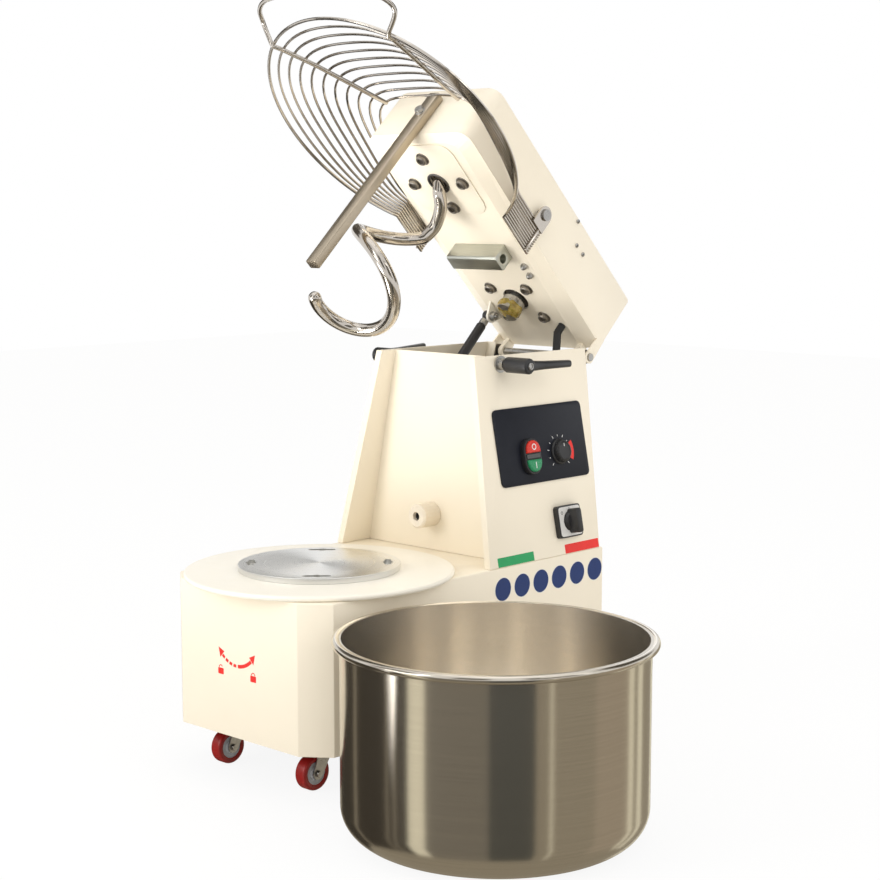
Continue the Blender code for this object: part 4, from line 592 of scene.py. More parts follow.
def cut(shape, cutters):
    """The shape with the cutters taken out of it."""
    objects = []
    for item in [shape] + cutters:
        mesh = bpy.data.meshes.new("cut")
        bmesh.ops.recalc_face_normals(item, faces=item.faces)
        item.to_mesh(mesh)
        item.free()
        objects.append(bpy.data.objects.new("cut", mesh))
        bpy.context.scene.collection.objects.link(objects[-1])
    for tool in objects[1:]:
        step = objects[0].modifiers.new("cut", "BOOLEAN")
        step.operation = "DIFFERENCE"
        step.solver = "EXACT"
        step.object = tool
    bpy.context.view_layer.update()
    result = bmesh.new()
    result.from_object(objects[0], bpy.context.evaluated_depsgraph_get())
    for item in objects:
        mesh = item.data
        bpy.data.objects.remove(item)
        bpy.data.meshes.remove(mesh)
    return result


def fine_plate():
    """Turned plate with eased rim, centre mark and keyholes, on its shaft."""
    edge = 1.2 * MM
    low = -PLATE_THICKNESS
    profile = [(SHAFT_RADIUS, low - SHAFT_LENGTH), (SHAFT_RADIUS, low), (PLATE_RADIUS, low)]
    profile += arc(PLATE_RADIUS - edge, -edge, edge, 0, 90, 5)
    profile += [(90 * MM, 0), (60 * MM, 0), (30 * MM, 0), (2.5 * MM, 0), (0.4 * MM, -1.5 * MM)]
    shape = cut(lathe(profile, 128), keyhole_cutters())
    piece = add_piece("bowl_plate_turned", shape, finishes["turned_aluminium"], "bowl_drive", 30)
    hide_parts("bowl_plate")


def fine_disc():
    """Painted table disc with a rolled edge."""
    half = DISC_THICKNESS / 2
    bore = SHAFT_RADIUS + 4 * MM
    profile = [(bore, DISC_TOP - DISC_THICKNESS)]
    profile += arc(DISC_RADIUS - half, DISC_TOP - half, half, -90, 90, 10)
    profile += [(bore, DISC_TOP)]
    piece = add_piece("table_disc", lathe(profile, 160, closed=True), finishes["white_paint"], "frame",
                      40)
    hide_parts("base_top_disc")

# Wire guard
GUARD_WIRES = 11
GUARD_WIRE_RADIUS = 2 * MM
GUARD_RING_RADIUS = 2.5 * MM
GUARD_FRONT_OUTER = 702 * MM
GUARD_FRONT_INNER = 484 * MM
GUARD_FRONT_LOW = -5 * MM
GUARD_FRONT_HIGH = 80 * MM
GUARD_COMB_X = 112 * MM
GUARD_COMB_FRONT = 312 * MM
GUARD_COMB_REAR = 235 * MM
GUARD_COMB_HIGH = 48 * MM
GUARD_ROD_RADIUS = 3.5 * MM
GUARD_ROD_OUTER_X = 120 * MM
GUARD_ROD_INNER_X = 75 * MM
GUARD_HANDLE_X = 136 * MM
GUARD_HANDLE_FRONT = 735 * MM
GUARD_HANDLE_HEIGHT = 13 * MM
GUARD_PIVOT_ALONG = 250 * MM
GUARD_PIVOT_HEIGHT = 66 * MM
GUARD_PIVOT_HOLE = 5.3 * MM
GUARD_PLATE_INNER = 114.8 * MM
GUARD_PLATE_THICKNESS = 3 * MM
GUARD_TAB_LAP = 8 * MM

# Spiral hook
SPIRAL_ALONG = 364 * MM
SPIRAL_RADIUS = 57 * MM
SPIRAL_BAR = 10 * MM
SPIRAL_START = -112
SPIRAL_SWEEP = -454
SPIRAL_TOP = -47 * MM
SPIRAL_DROP = 204 * MM


def wire_shape(k):
    """Front, front height, comb height, power and run radius of guard wire k."""
    share = k / (GUARD_WIRES - 1)
    front = GUARD_FRONT_OUTER + share * (GUARD_FRONT_INNER - GUARD_FRONT_OUTER)
    front_height = GUARD_FRONT_LOW + share * (GUARD_FRONT_HIGH - GUARD_FRONT_LOW)
    power = 2 + 2 * share
    low = GUARD_COMB_X
    high = front - GUARD_COMB_FRONT
    while high - low > 0.001 * MM:
        radius = (low + high) / 2
        behind = front - radius - GUARD_COMB_FRONT
        if (GUARD_COMB_X / radius) ** power + (behind / radius) ** power > 1:
            low = radius
        else:
            high = radius
    return front, front_height, share * GUARD_COMB_HIGH, power, radius


def wire_point(shape, angle):
    """Point of a wire as (across, along, height); a quarter turn is its front."""
    front, front_height, comb_height, power, radius = shape
    across = math.copysign(abs(math.cos(angle)) ** (2 / power), math.cos(angle))
    ahead = math.copysign(abs(math.sin(angle)) ** (2 / power), math.sin(angle))
    along = front - radius + radius * ahead
    rise = (along - GUARD_COMB_FRONT) / (front - GUARD_COMB_FRONT)
    return Vector((radius * across, along, comb_height + rise * (front_height - comb_height)))


def angle_where(test, low, high):
    """Narrow an angle down to where a test first fails."""
    while high - low > 0.00005:
        middle = (low + high) / 2
        if test(middle):
            low = middle
        else:
            high = middle
    return high


def evened(path, spacing):
    """The same path with its points at even distances."""
    lengths = [0.0]
    for a, b in zip(path, path[1:]):
        lengths.append(lengths[-1] + (b - a).length)
    count = max(2, round(lengths[-1] / spacing))
    points = []
    k = 0
    for s in range(count + 1):
        target = lengths[-1] * s / count
        while k < len(path) - 2 and lengths[k + 1] < target:
            k += 1
        span = lengths[k + 1] - lengths[k]
        share = (target - lengths[k]) / span if span else 0.0
        points.append(path[k].lerp(path[k + 1], min(1.0, share)))
    return points


def on_head(points):
    return [head_point(p.x, p.y, p.z) for p in points]


def guard_wire(k):
    shape = wire_shape(k)
    start = angle_where(lambda a: wire_point(shape, a).y < GUARD_COMB_FRONT, -math.pi / 2, 0.0)
    run = [wire_point(shape, start + (math.pi - 2 * start) * s / 400) for s in range(401)]
    tail = Vector((0, GUARD_COMB_FRONT - GUARD_COMB_REAR, 0))
    path = [run[0] - tail] + evened(run, 12 * MM) + [run[-1] - tail]
    radius = GUARD_RING_RADIUS if k == 0 else GUARD_WIRE_RADIUS
    return tube(on_head(path), radius, 8, round_ends=True)


def rod_crossings():
    """Where the right-hand rod passes under each wire, from the inner wire outwards."""
    points = []
    for k in reversed(range(GUARD_WIRES)):
        share = k / (GUARD_WIRES - 1)
        x = GUARD_ROD_OUTER_X + share * (GUARD_ROD_INNER_X - GUARD_ROD_OUTER_X)
        shape = wire_shape(k)
        angle = angle_where(lambda a: wire_point(shape, a).x > x, 0.0, math.pi / 2)
        points.append(wire_point(shape, angle) - Vector((0, 0, GUARD_ROD_RADIUS)))
    return points


def mirrored(points):
    return [Vector((-p.x, p.y, p.z)) for p in reversed(points)]


def guard_handle():
    """One bar out under the wires, round the handle and back."""
    rod = rod_crossings()
    front = GUARD_HANDLE_FRONT
    height = GUARD_HANDLE_HEIGHT
    bend = [Vector((GUARD_HANDLE_X, front - 45 * MM, height))]
    bend += [Vector((GUARD_HANDLE_X - 14 * MM, front - 18 * MM, height))]
    bend += [Vector((GUARD_HANDLE_X - 50 * MM, front - 3 * MM, height))]
    middle = [Vector((0, front, height))]
    loop = smooth_path(rod[-1:] + bend + middle + mirrored(bend) + mirrored(rod[-1:]), 8)
    path = rod[:-1:3] + loop + mirrored(rod[:-1:3])
    return tube(on_head(path), GUARD_ROD_RADIUS, 10, round_ends=True)


def weld(point, size):
    """Small flattened bead."""
    bead = bmesh.new()
    bmesh.ops.create_icosphere(bead, subdivisions=2, radius=size)
    bead.transform(Matrix.Translation(point) @ Matrix.Diagonal((1.2, 1.2, 0.8, 1)))
    return bead


def guard_tab(side):
    """Side plate with its pivot hole, welded to the comb."""
    outline = arc(GUARD_PIVOT_ALONG, GUARD_PIVOT_HEIGHT, 14 * MM, 180, 0, 20)
    foot = GUARD_COMB_HIGH - GUARD_TAB_LAP
    outline += [(GUARD_PIVOT_ALONG + 14 * MM, foot), (GUARD_PIVOT_ALONG - 14 * MM, foot)]
    hole = arc(GUARD_PIVOT_ALONG, GUARD_PIVOT_HEIGHT, GUARD_PIVOT_HOLE, 180, -180, 24)[:-1]
    shape = bmesh.new()
    faces = []
    for out in (0.0, GUARD_PLATE_THICKNESS):
        x = side * (GUARD_PLATE_INNER + out)
        loops = []
        for line in (outline, hole):
            verts = [shape.verts.new(head_point(x, a, n)) for a, n in line]
            loops.append(verts)
            for k in range(len(verts)):
                shape.edges.new((verts[k], verts[(k + 1) % len(verts)]))
        edges = list({e for loop in loops for v in loop for e in v.link_edges})
        bmesh.ops.triangle_fill(shape, edges=edges, use_beauty=True)
        faces.append(loops)
    for low, high in zip(*faces):
        for k in range(len(low)):
            after = (k + 1) % len(low)
            shape.faces.new((low[k], low[after], high[after], high[k]))
    return shape


def fine_guard():
    """Polished wires, the rod and handle, cross wires, side plates and weld beads."""
    parts = [guard_wire(k) for k in range(GUARD_WIRES)]
    parts.append(guard_handle())
    for point in rod_crossings():
        for side in (-1, 1):
            spot = Vector((side * point.x, point.y, point.z + GUARD_ROD_RADIUS * 0.8))
            parts.append(weld(head_point(*spot), GUARD_WIRE_RADIUS * 1.4))
    for side in (-1, 1):
        x = side * (GUARD_COMB_X + GUARD_WIRE_RADIUS * 1.5)
        along = GUARD_COMB_REAR + 8 * MM
        ends = [Vector((x, along, -1 * MM)), Vector((x, along, GUARD_COMB_HIGH + 1 * MM))]
        parts.append(tube(on_head(ends), GUARD_WIRE_RADIUS, 8, round_ends=True))
        parts.append(guard_tab(side))
    steel = finishes["polished_steel"]
    piece = add_piece("guard_wires", merged(*parts), steel, "guard", 40)
    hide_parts("guard_grid")


def spiral_points():
    """Centreline of the hook in the head's frame, about the spindle's axis."""
    path = [Vector((0, 0, 34 * MM)), Vector((0, 0, 20 * MM))]
    for radius, height, turn in ((10, 7, 34), (30, -6, 24), (50, -26, 10)):
        angle = math.radians(SPIRAL_START + turn)
        path.append(Vector((radius * math.cos(angle), radius * math.sin(angle), height)) * MM)
    steps = 120
    for k in range(steps + 1):
        share = k / steps
        angle = math.radians(SPIRAL_START + SPIRAL_SWEEP * share)
        height = SPIRAL_TOP - SPIRAL_DROP * math.sin(math.pi / 2 * share)
        path.append(Vector((SPIRAL_RADIUS * math.cos(angle), SPIRAL_RADIUS * math.sin(angle), height)))
    return path[:1] + smooth_path(path[1:6], 8) + path[6:]


def fine_hook():
    """Polished hook bar with a rounded tip, on its shaft."""
    path = [head_point(p.x, SPIRAL_ALONG + p.y, p.z) for p in spiral_points()]
    bar = tube(path, SPIRAL_BAR, 24, round_ends=True)
    shaft = placed(lathe([(15 * MM, 24 * MM), (15 * MM, 114 * MM)], 48), head_matrix(0, SPIRAL_ALONG, 0))
    steel = finishes["polished_steel"]
    piece = add_piece("hook_bar", merged(bar, shaft), steel, "spiral", 40)
    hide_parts("spiral_hook")

# Fasteners and fittings
NOSE_BOLT_RING = 50 * MM
NOSE_PLATE_FACE = 17.7 * MM
CLUTCH_ALONG = 107 * MM
CLUTCH_BOLT_ALONG = (69 * MM, 133 * MM)
CLUTCH_BOLT_ACROSS = 38 * MM
COVER_SCREWS = ((178 * MM, 126 * MM), (153 * MM, 98 * MM), (132 * MM, 99 * MM))
CLAMP_Y = 275 * MM
CLAMP_Z = 279.9 * MM
CLAMP_WALL = 107.4 * MM
CLAMP_HUB_RIGHT = 119 * MM
CLAMP_HUB_LEFT = 110 * MM
CLAMP_HUB_LENGTH = 49 * MM
SPRING_X = -68 * MM
SPRING_ALONG = 80 * MM
SPRING_HEIGHT = 5 * MM
SPRING_ANCHOR_Y = 280 * MM
SPRING_ANCHOR_Z = 177.9 * MM
CONDUIT_X = 64 * MM
CONDUIT_ALONG = 50 * MM
CONDUIT_RADIUS = 6.5 * MM
WHEEL_RADIUS = 25 * MM
WHEEL_WIDTH = 20 * MM
CASTER_TRAIL = 18 * MM
CASTERS = {"front_left": (-92 * MM, -84 * MM), "front_right": (92 * MM, -84 * MM),
           "rear_left": (-128 * MM, 395 * MM), "rear_right": (128 * MM, 395 * MM)}


def hexagon(width, corner_points=4):
    """Outline of a hexagon by its width across flats, with evenly many points on each side."""
    radius = width / math.sqrt(3)
    corners = [(radius * math.cos(math.pi * k / 3), radius * math.sin(math.pi * k / 3)) for k in range(6)]
    points = []
    for k in range(6):
        (x0, y0), (x1, y1) = corners[k], corners[(k + 1) % 6]
        for s in range(corner_points):
            share = s / corner_points
            points.append((x0 + share * (x1 - x0), y0 + share * (y1 - y0)))
    return points


def loft(levels):
    """Skin over outlines with equal point counts, each at its height; both ends are closed."""
    shape = bmesh.new()
    rings = [[shape.verts.new((x, y, height)) for x, y in outline] for outline, height in levels]
    for low, high in zip(rings, rings[1:]):
        for k in range(len(low)):
            after = (k + 1) % len(low)
            shape.faces.new((low[k], low[after], high[after], high[k]))
    shape.faces.new(list(reversed(rings[0])))
    shape.faces.new(rings[-1])
    return shape


def circle(radius):
    """Outline with as many points as a hexagon's."""
    return arc(0, 0, radius, 0, 345, 23)


def washer(radius, bore, thickness):
    edge = 0.25 * thickness
    profile = [(bore, 0), (radius, 0), (radius, thickness - edge)]
    profile += [(radius - edge, thickness), (bore, thickness)]
    return lathe(profile, 32, closed=True)


def socket_bolt(radius, height):
    """Cap head with an eased rim and a hexagon socket, standing on Z = 0."""
    edge = 0.18 * radius
    key = 1.1 * radius
    return loft([(circle(radius), 0), (circle(radius), height - edge), (circle(radius - edge), height),
                 (circle(0.68 * radius), height), (hexagon(key), height - 0.1 * radius),
                 (hexagon(key), 0.45 * height)])


def hex_bolt(width, height):
    """Hexagon head with a chamfered top, standing on Z = 0."""
    radius = width / 2
    return loft([(hexagon(width), 0), (hexagon(width), 0.75 * height), (circle(radius * 0.98), height),
                 (circle(radius * 0.6), height * 1.02)])


def domed_screw(radius, height):
    """Pan head with a small hexagon socket."""
    return loft([(circle(radius), 0), (circle(radius), 0.35 * height), (circle(0.82 * radius), 0.8 * height),
                 (circle(0.55 * radius), height), (hexagon(0.7 * radius), 0.92 * height),
                 (hexagon(0.7 * radius), 0.4 * height)])


def underside(x, along, height):
    """Frame on the head's underside whose Z points down out of it."""
    return head_matrix(x, along, height) @ Matrix.Rotation(math.pi, 4, "X")


def flange_bolt(name, matrix, radius):
    """Cap bolt on a washer."""
    plate = placed(washer(1.32 * radius, 0.5 * radius, 1.4 * MM), matrix)
    head = placed(socket_bolt(radius, 0.75 * radius), matrix @ Matrix.Translation((0, 0, 1.2 * MM)))
    add_piece(name, merged(plate, head), finishes["old_bolt"], "head")


def head_bolts():
    """Four bolts round the spindle and four round the clutch."""
    for k in range(4):
        angle = math.pi * k / 2
        x = NOSE_BOLT_RING * math.sin(angle)
        along = SPIRAL_ALONG + NOSE_BOLT_RING * math.cos(angle)
        flange_bolt(f"spindle_bolt_{k + 1}", underside(x, along, NOSE_PLATE_FACE), 8.5 * MM)
    number = 1
    for along in CLUTCH_BOLT_ALONG:
        for x in (-CLUTCH_BOLT_ACROSS, CLUTCH_BOLT_ACROSS):
            flange_bolt(f"clutch_bolt_{number}", underside(x, along, HEAD_BOTTOM), 8.5 * MM)
            number += 1


def seal_ring(name, matrix, bore, width, finish):
    """Lip round a shaft's hole."""
    profile = [(bore, -1 * MM), (bore + width, -1 * MM), (bore + width, 0.8 * MM)]
    profile += [(bore + 0.6 * width, 1.6 * MM), (bore, 1.2 * MM)]
    add_piece(name, placed(lathe(profile, 64, closed=True), matrix), finishes[finish], "head")


def cover_screws():
    """Small screws on both sides of the cover."""
    number = 1
    for side in (-1, 1):
        lie = Matrix.Rotation(side * math.pi / 2, 4, "Y")
        for along, height in COVER_SCREWS:
            matrix = head_matrix(side * HEAD_HALF_WIDTH, along, height) @ lie
            screw = placed(domed_screw(3.6 * MM, 2.6 * MM), matrix)
            add_piece(f"cover_screw_{number}", screw, finishes["zinc"], "head")
            number += 1


def bar_bolt():
    """Hexagon bolt that holds the bar to the head's front."""
    matrix = head_matrix(0, HEAD_FRONT + 15.3 * MM, 63 * MM) @ Matrix.Rotation(math.pi / 2, 4, "X")
    plate = placed(washer(8.5 * MM, 3 * MM, 1.4 * MM), matrix)
    head = placed(hex_bolt(13 * MM, 5.5 * MM), matrix @ Matrix.Translation((0, 0, 1.2 * MM)))
    add_piece("bar_bolt", merged(plate, head), finishes["zinc"], "head")


def strut_nut():
    """Nut and stud end at the gas spring's upper eye."""
    matrix = head_matrix(-58 * MM, 80 * MM, 5 * MM) @ Matrix.Rotation(math.pi / 2, 4, "Y")
    plate = placed(washer(8 * MM, 3 * MM, 1.5 * MM), matrix)
    nut = placed(hex_bolt(13 * MM, 7 * MM), matrix @ Matrix.Translation((0, 0, 1.4 * MM)))
    end = placed(domed_screw(4 * MM, 3 * MM), matrix @ Matrix.Translation((0, 0, 8.4 * MM)))
    add_piece("strut_nut", merged(plate, nut, end), finishes["zinc"], "head")


def cap_nuts():
    """Two small cap nuts at the arm's right edge behind the clamp block."""
    for number, along in enumerate((186 * MM, 166 * MM), 1):
        matrix = underside(66 * MM, along, HEAD_BOTTOM)
        nut = placed(hex_bolt(10 * MM, 5 * MM), matrix)
        cap = placed(lathe([(4.2 * MM, 4.5 * MM)] + arc(0, 5 * MM, 4.2 * MM, 0, 80, 6), 24), matrix)
        add_piece(f"cap_nut_{number}", merged(nut, cap), finishes["zinc"], "head")


def clutch_grease():
    """Uneven smear of grease round the clutch's dogs."""
    shape = lathe([(19.2 * MM, 5 * MM), (20.2 * MM, 2 * MM), (20.4 * MM, -3 * MM), (18 * MM, -7.5 * MM),
                   (13 * MM, -9 * MM), (7 * MM, -9.4 * MM)], 48)
    for vert in shape.verts:
        angle = math.atan2(vert.co.y, vert.co.x)
        swell = 1 + 0.04 * math.sin(3 * angle + 1) + 0.03 * math.sin(7 * angle) + 0.02 * math.sin(13 * angle)
        vert.co.x *= swell
        vert.co.y *= swell
        vert.co.z += 0.6 * MM * math.sin(5 * angle)
    add_piece("clutch_grease", placed(shape, head_matrix(0, CLUTCH_ALONG, 0)), finishes["grease"], "clutch")


def caster(name, x, y):
    """Tyre, hub, axle nuts and swivel race of one caster, trailing to the front."""
    half = WHEEL_WIDTH / 2
    rim = WHEEL_RADIUS - 8.5 * MM
    axle = Matrix.Translation((x, y - CASTER_TRAIL, FLOOR + WHEEL_RADIUS))
    lie = axle @ Matrix.Rotation(math.pi / 2, 4, "Y")
    side = [(rim, 1.5 * MM - half)] + arc(WHEEL_RADIUS - 4 * MM, 4 * MM - half, 4 * MM, -100, 0, 8)
    tyre = lathe(side + [(radius, -height) for radius, height in reversed(side)], 64, closed=True)
    tyre = add_piece("tyre_" + name, placed(tyre, lie), finishes["red_tyre"], "wheel_" + name, 40)
    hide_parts("caster_wheel_" + name)
    dish = [(4.3 * MM, 1 * MM - half), (8 * MM, 1 * MM - half), (9 * MM, 3.5 * MM - half)]
    dish += [(rim - 2 * MM, 3 * MM - half), (rim, 1.8 * MM - half)]
    hub = lathe(dish + [(radius, -height) for radius, height in reversed(dish)], 48, closed=True)
    add_piece("hub_" + name, placed(hub, lie), finishes["hub_plastic"], "wheel_" + name, 40)
    nuts = []
    for end in (-1, 1):
        turn = lie if end > 0 else lie @ Matrix.Rotation(math.pi, 4, "X")
        nuts.append(placed(hex_bolt(9 * MM, 4 * MM), turn @ Matrix.Translation((0, 0, 13 * MM))))
    add_piece("axle_nuts_" + name, merged(*nuts), finishes["zinc"], "swivel_" + name)
    race = [(8 * MM, 56 * MM), (17.5 * MM, 56 * MM)]
    race += arc(17.5 * MM, 58 * MM, 2 * MM, -60, 60, 5) + [(8 * MM, 60 * MM)]
    race = placed(lathe(race, 48, closed=True), Matrix.Translation((x, y, FLOOR)))
    add_piece("race_" + name, race, finishes["zinc"], "swivel_" + name, 40)


def bumper_screw():
    """Dark socket screw just inside the mouth of the rubber buffer."""
    matrix = Matrix.Translation((-12 * MM, 225 * MM, 39.9 * MM)) @ Matrix.Rotation(math.pi / 2, 4, "X")
    screw = placed(socket_bolt(6.6 * MM, 5 * MM), matrix)
    add_piece("bumper_screw", screw, finishes["black_rubber"], "frame")


def rear_screws():
    """Screws down both edges of the rear cover."""
    low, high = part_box("column_rear_cover")
    rows = (0.06, 0.36, 0.66, 0.96)
    lean = math.atan2(34, 310)
    for number, share in enumerate(rows, 1):
        z = low.z + share * (high.z - low.z)
        for side in (-1, 1):
            half = 165 * MM - (z - low.z + 6 * MM) * 61 / 310 - 14 * MM
            y = 448 * MM + (z + 17.1 * MM) * 34 / 310 + 3.3 * MM
            turn = Matrix.Rotation(-math.pi / 2 + lean, 4, "X")
            matrix = Matrix.Translation((side * half, y, z)) @ turn
            name = f"rear_screw_{number}_{'left' if side < 0 else 'right'}"
            add_piece(name, placed(domed_screw(4 * MM, 2.4 * MM), matrix), finishes["zinc"], "frame")


def lever_fittings():
    """Plated collar and washer where each lever's stud leaves the column, and the screw in its hub."""
    for name, side, hub in (("right", 1, CLAMP_HUB_RIGHT), ("left", -1, CLAMP_HUB_LEFT)):
        base = Matrix.Translation((0, CLAMP_Y, CLAMP_Z)) @ Matrix.Rotation(side * math.pi / 2, 4, "Y")
        collar = lathe([(7.4 * MM, CLAMP_WALL), (13 * MM, CLAMP_WALL), (13 * MM, CLAMP_WALL + 1.8 * MM),
                        (9 * MM, CLAMP_WALL + 2 * MM), (9 * MM, hub - 0.4 * MM), (7.4 * MM, hub - 0.4 * MM)],
                       40, closed=True)
        add_piece("lever_collar_" + name, placed(collar, base), finishes["zinc"], "lever_" + name)
        end = base @ Matrix.Translation((0, 0, hub + CLAMP_HUB_LENGTH))
        screw = placed(socket_bolt(5.5 * MM, 2.5 * MM), end)
        add_piece("lever_screw_" + name, screw, finishes["zinc"], "lever_" + name)


def spring_neck():
    """Bright sleeve between the gas spring's upper eye and its tube."""
    top = head_point(SPRING_X, SPRING_ALONG, SPRING_HEIGHT)
    foot = Vector((SPRING_X, SPRING_ANCHOR_Y, SPRING_ANCHOR_Z))
    turn = (foot - top).to_track_quat("Z", "Y").to_matrix().to_4x4()
    sleeve = lathe([(5.2 * MM, 10 * MM), (6.6 * MM, 10 * MM), (7 * MM, 11 * MM), (7 * MM, 18 * MM),
                    (6.6 * MM, 19.4 * MM), (5.2 * MM, 19.4 * MM)], 32, closed=True)
    placed(sleeve, Matrix.Translation(top) @ turn)
    add_piece("spring_neck", sleeve, finishes["zinc"], "spring_tube")


def fine_conduit():
    """Ribbed cable conduit from the head's underside down to the control cheek."""
    start = head_point(CONDUIT_X, CONDUIT_ALONG, HEAD_BOTTOM - 0.3 * MM)
    below = head_point(CONDUIT_X, CONDUIT_ALONG, HEAD_BOTTOM - 16 * MM)
    end = control_matrix(77 * MM, 50 * MM, -21 * MM).translation
    above = end + Vector((-3 * MM, 3 * MM, 32 * MM))
    middle = (below + above) / 2 + Vector((0, -4 * MM, 0))
    path = evened([start] + smooth_path([below, middle, above, end], 16), 1.6 * MM)
    sides = 20
    shape = tube(path, CONDUIT_RADIUS, sides)
    shape.verts.ensure_lookup_table()
    for k in range(1, len(path) - 1, 2):
        for vert in shape.verts[sides * k:sides * k + sides]:
            vert.co = path[k] + (vert.co - path[k]) * 0.86
    piece = add_piece("conduit_ribbed", shape, finishes["black_rubber"], None, 70)
    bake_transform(piece)
    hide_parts("conduit")

# Printed marks and control details
INK = 0.12 * MM
INK_GAP = 0.02 * MM
FRONT_FACE_Y = -158 * MM
SIDE_FACE_X = 165 * MM
PANEL_FACE = 2.8 * MM
TIMER_ACROSS = 37.5 * MM
TIMER_UP = -16.5 * MM
SWITCH_ACROSS = -35.5 * MM
SWITCH_UP = -17.5 * MM
BUTTON_FACE = 16.1 * MM
SELECTOR_ACROSS = 33 * MM
SELECTOR_UP = -125 * MM
SELECTOR_WIDTH = 55 * MM
SELECTOR_HEIGHT = 50 * MM
SELECTOR_DEPTH = 9 * MM


def flat_print(outlines, matrix):
    """Thin raised ink over one or more outlines drawn in the XY plane."""
    return merged(*[placed(prism(outline, 0, INK), matrix) for outline in outlines])


def band(centre, inner, outer, start, end, steps):
    """Part of a ring as one outline."""
    x, y = centre
    return arc(x, y, outer, start, end, steps) + arc(x, y, inner, end, start, steps)


def bar(x0, y0, x1, y1, width):
    """Straight stroke between two points."""
    along = Vector((x1 - x0, y1 - y0)).normalized()
    across = Vector((-along.y, along.x)) * width / 2
    return [(x0 + across.x, y0 + across.y), (x0 - across.x, y0 - across.y), (x1 - across.x, y1 - across.y),
            (x1 + across.x, y1 + across.y)]


def arrow_head(centre, radius, root, tip):
    """Point of a curved arrow, from its root angle to its tip angle."""
    x, y = centre
    root = math.radians(root)
    tip = math.radians(tip)
    wide = 6.5 * MM
    return [(x + (radius + wide) * math.cos(root), y + (radius + wide) * math.sin(root)),
            (x + radius * math.cos(tip), y + radius * math.sin(tip)),
            (x + (radius - wide) * math.cos(root), y + (radius - wide) * math.sin(root))]


def padlock(x, y, open_turn):
    """Body and shackle; an open one has its shackle short of the body on one side."""
    body = placed_outline(rounded_rectangle(12 * MM, 9 * MM, 1 * MM, 3), x, y - 1.5 * MM)
    return [body, band((x, y + 3.4 * MM), 3 * MM, 4.4 * MM, open_turn, 180, 12)]


def placed_outline(outline, x, y):
    return [(px + x, py + y) for px, py in outline]


def front_marks():
    """Curved double arrow, dashed on one half, between an open and a closed padlock."""
    matrix = Matrix.Translation((0, FRONT_FACE_Y - INK_GAP, 0)) @ Matrix.Rotation(math.pi / 2, 4, "X")
    centre = (-2 * MM, -81 * MM)
    radius = 46 * MM
    outlines = []
    for k in range(4):
        start = 228 + 11 * k
        outlines.append(band(centre, radius - 2.2 * MM, radius + 2.2 * MM, start, start + 7.5, 4))
    outlines.append(band(centre, radius - 2.6 * MM, radius + 2.6 * MM, 273, 312, 14))
    outlines.append(arrow_head(centre, radius, 227, 211))
    outlines.append(arrow_head(centre, radius, 313, 329))
    outlines += padlock(-37 * MM, -138 * MM, 30) + padlock(33 * MM, -138 * MM, 0)
    add_piece("front_marks", flat_print(outlines, matrix), finishes["red_ink"], "frame")


def side_marks():
    """Green and red strips on the cheek and six blue discs with white borders on the base's side."""
    for name, ink, low, high in (("green_strip", "green_ink", 209, 291), ("red_strip", "red_ink", 365, 447)):
        matrix = control_matrix((low + high) / 2 * MM - CONTROL_CENTRE.y, -167.5 * MM, INK_GAP)
        outline = rounded_rectangle((high - low) * MM, 14 * MM, 0.8 * MM, 3)
        add_piece(name, flat_print([outline], matrix), finishes[ink], "frame")
    rows = ((0, 0, 1), (1, 0, 0), (0, 1, 0))
    for k in range(6):
        y = (219 + 43.4 * k) * MM
        matrix = Matrix.Translation((SIDE_FACE_X + INK_GAP, y, 248 * MM + FLOOR)) @ Matrix(rows).to_4x4()
        disc = flat_print([arc(0, 0, 17.5 * MM, 0, 352.5, 47)], matrix)
        add_piece(f"blue_disc_{k + 1}", disc, finishes["blue_ink"], "frame")
        rim = flat_print([band((0, 0), 17.6 * MM, 18.5 * MM, 0, 359.5, 60)], matrix)
        add_piece(f"disc_border_{k + 1}", rim, finishes["white_ink"], "frame")


def panel_marks():
    """Timer scale with its red sector."""
    matrix = control_matrix(TIMER_ACROSS, TIMER_UP, PANEL_FACE)
    ticks = []
    for k in range(11):
        angle = math.radians(225 - 27 * k)
        near = 24 * MM
        far = near + (4 * MM if k % 2 == 0 else 2.6 * MM)
        start = (near * math.cos(angle), near * math.sin(angle))
        ticks.append(bar(*start, far * math.cos(angle), far * math.sin(angle), 1 * MM))
    add_piece("timer_scale", flat_print(ticks, matrix), finishes["white_ink"], "frame")
    sector = band((0, 0), 21.5 * MM, 34 * MM, -27, 27, 16)
    lifted = matrix @ Matrix.Translation((0, 0, 0.15 * MM))
    add_piece("timer_red_sector", flat_print([sector], lifted), finishes["red_ink"], "frame")


def timer_grip():
    """Fluted knob on a skirt, with an index line."""
    profile = [(0.5 * MM, 0.3 * MM), (20 * MM, 0.3 * MM), (20 * MM, 2.2 * MM), (19.2 * MM, 3 * MM)]
    profile += [(17.5 * MM, 3.4 * MM), (16.8 * MM, 10 * MM), (15.6 * MM, 11.4 * MM), (13 * MM, 12 * MM)]
    profile += [(12.4 * MM, 11.2 * MM), (4 * MM, 11 * MM)]
    knob = lathe(profile, 120)
    for vert in knob.verts:
        radius = math.hypot(vert.co.x, vert.co.y)
        if 14.5 * MM < radius < 18 * MM:
            share = 1 - 0.035 * (0.5 + 0.5 * math.cos(20 * math.atan2(vert.co.y, vert.co.x)))
            vert.co.x *= share
            vert.co.y *= share
    matrix = control_matrix(TIMER_ACROSS, TIMER_UP, PANEL_FACE)
    black = finishes["black_plastic"]
    piece = add_piece("timer_grip", placed(knob, matrix), black, "timer", 50)
    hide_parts("timer_knob")
    top = matrix @ Matrix.Translation((0, 0, 11.2 * MM))
    line = flat_print([bar(0, 7.5 * MM, 0, 12 * MM, 1.4 * MM)], top)
    add_piece("timer_index", line, finishes["white_ink"], "timer")


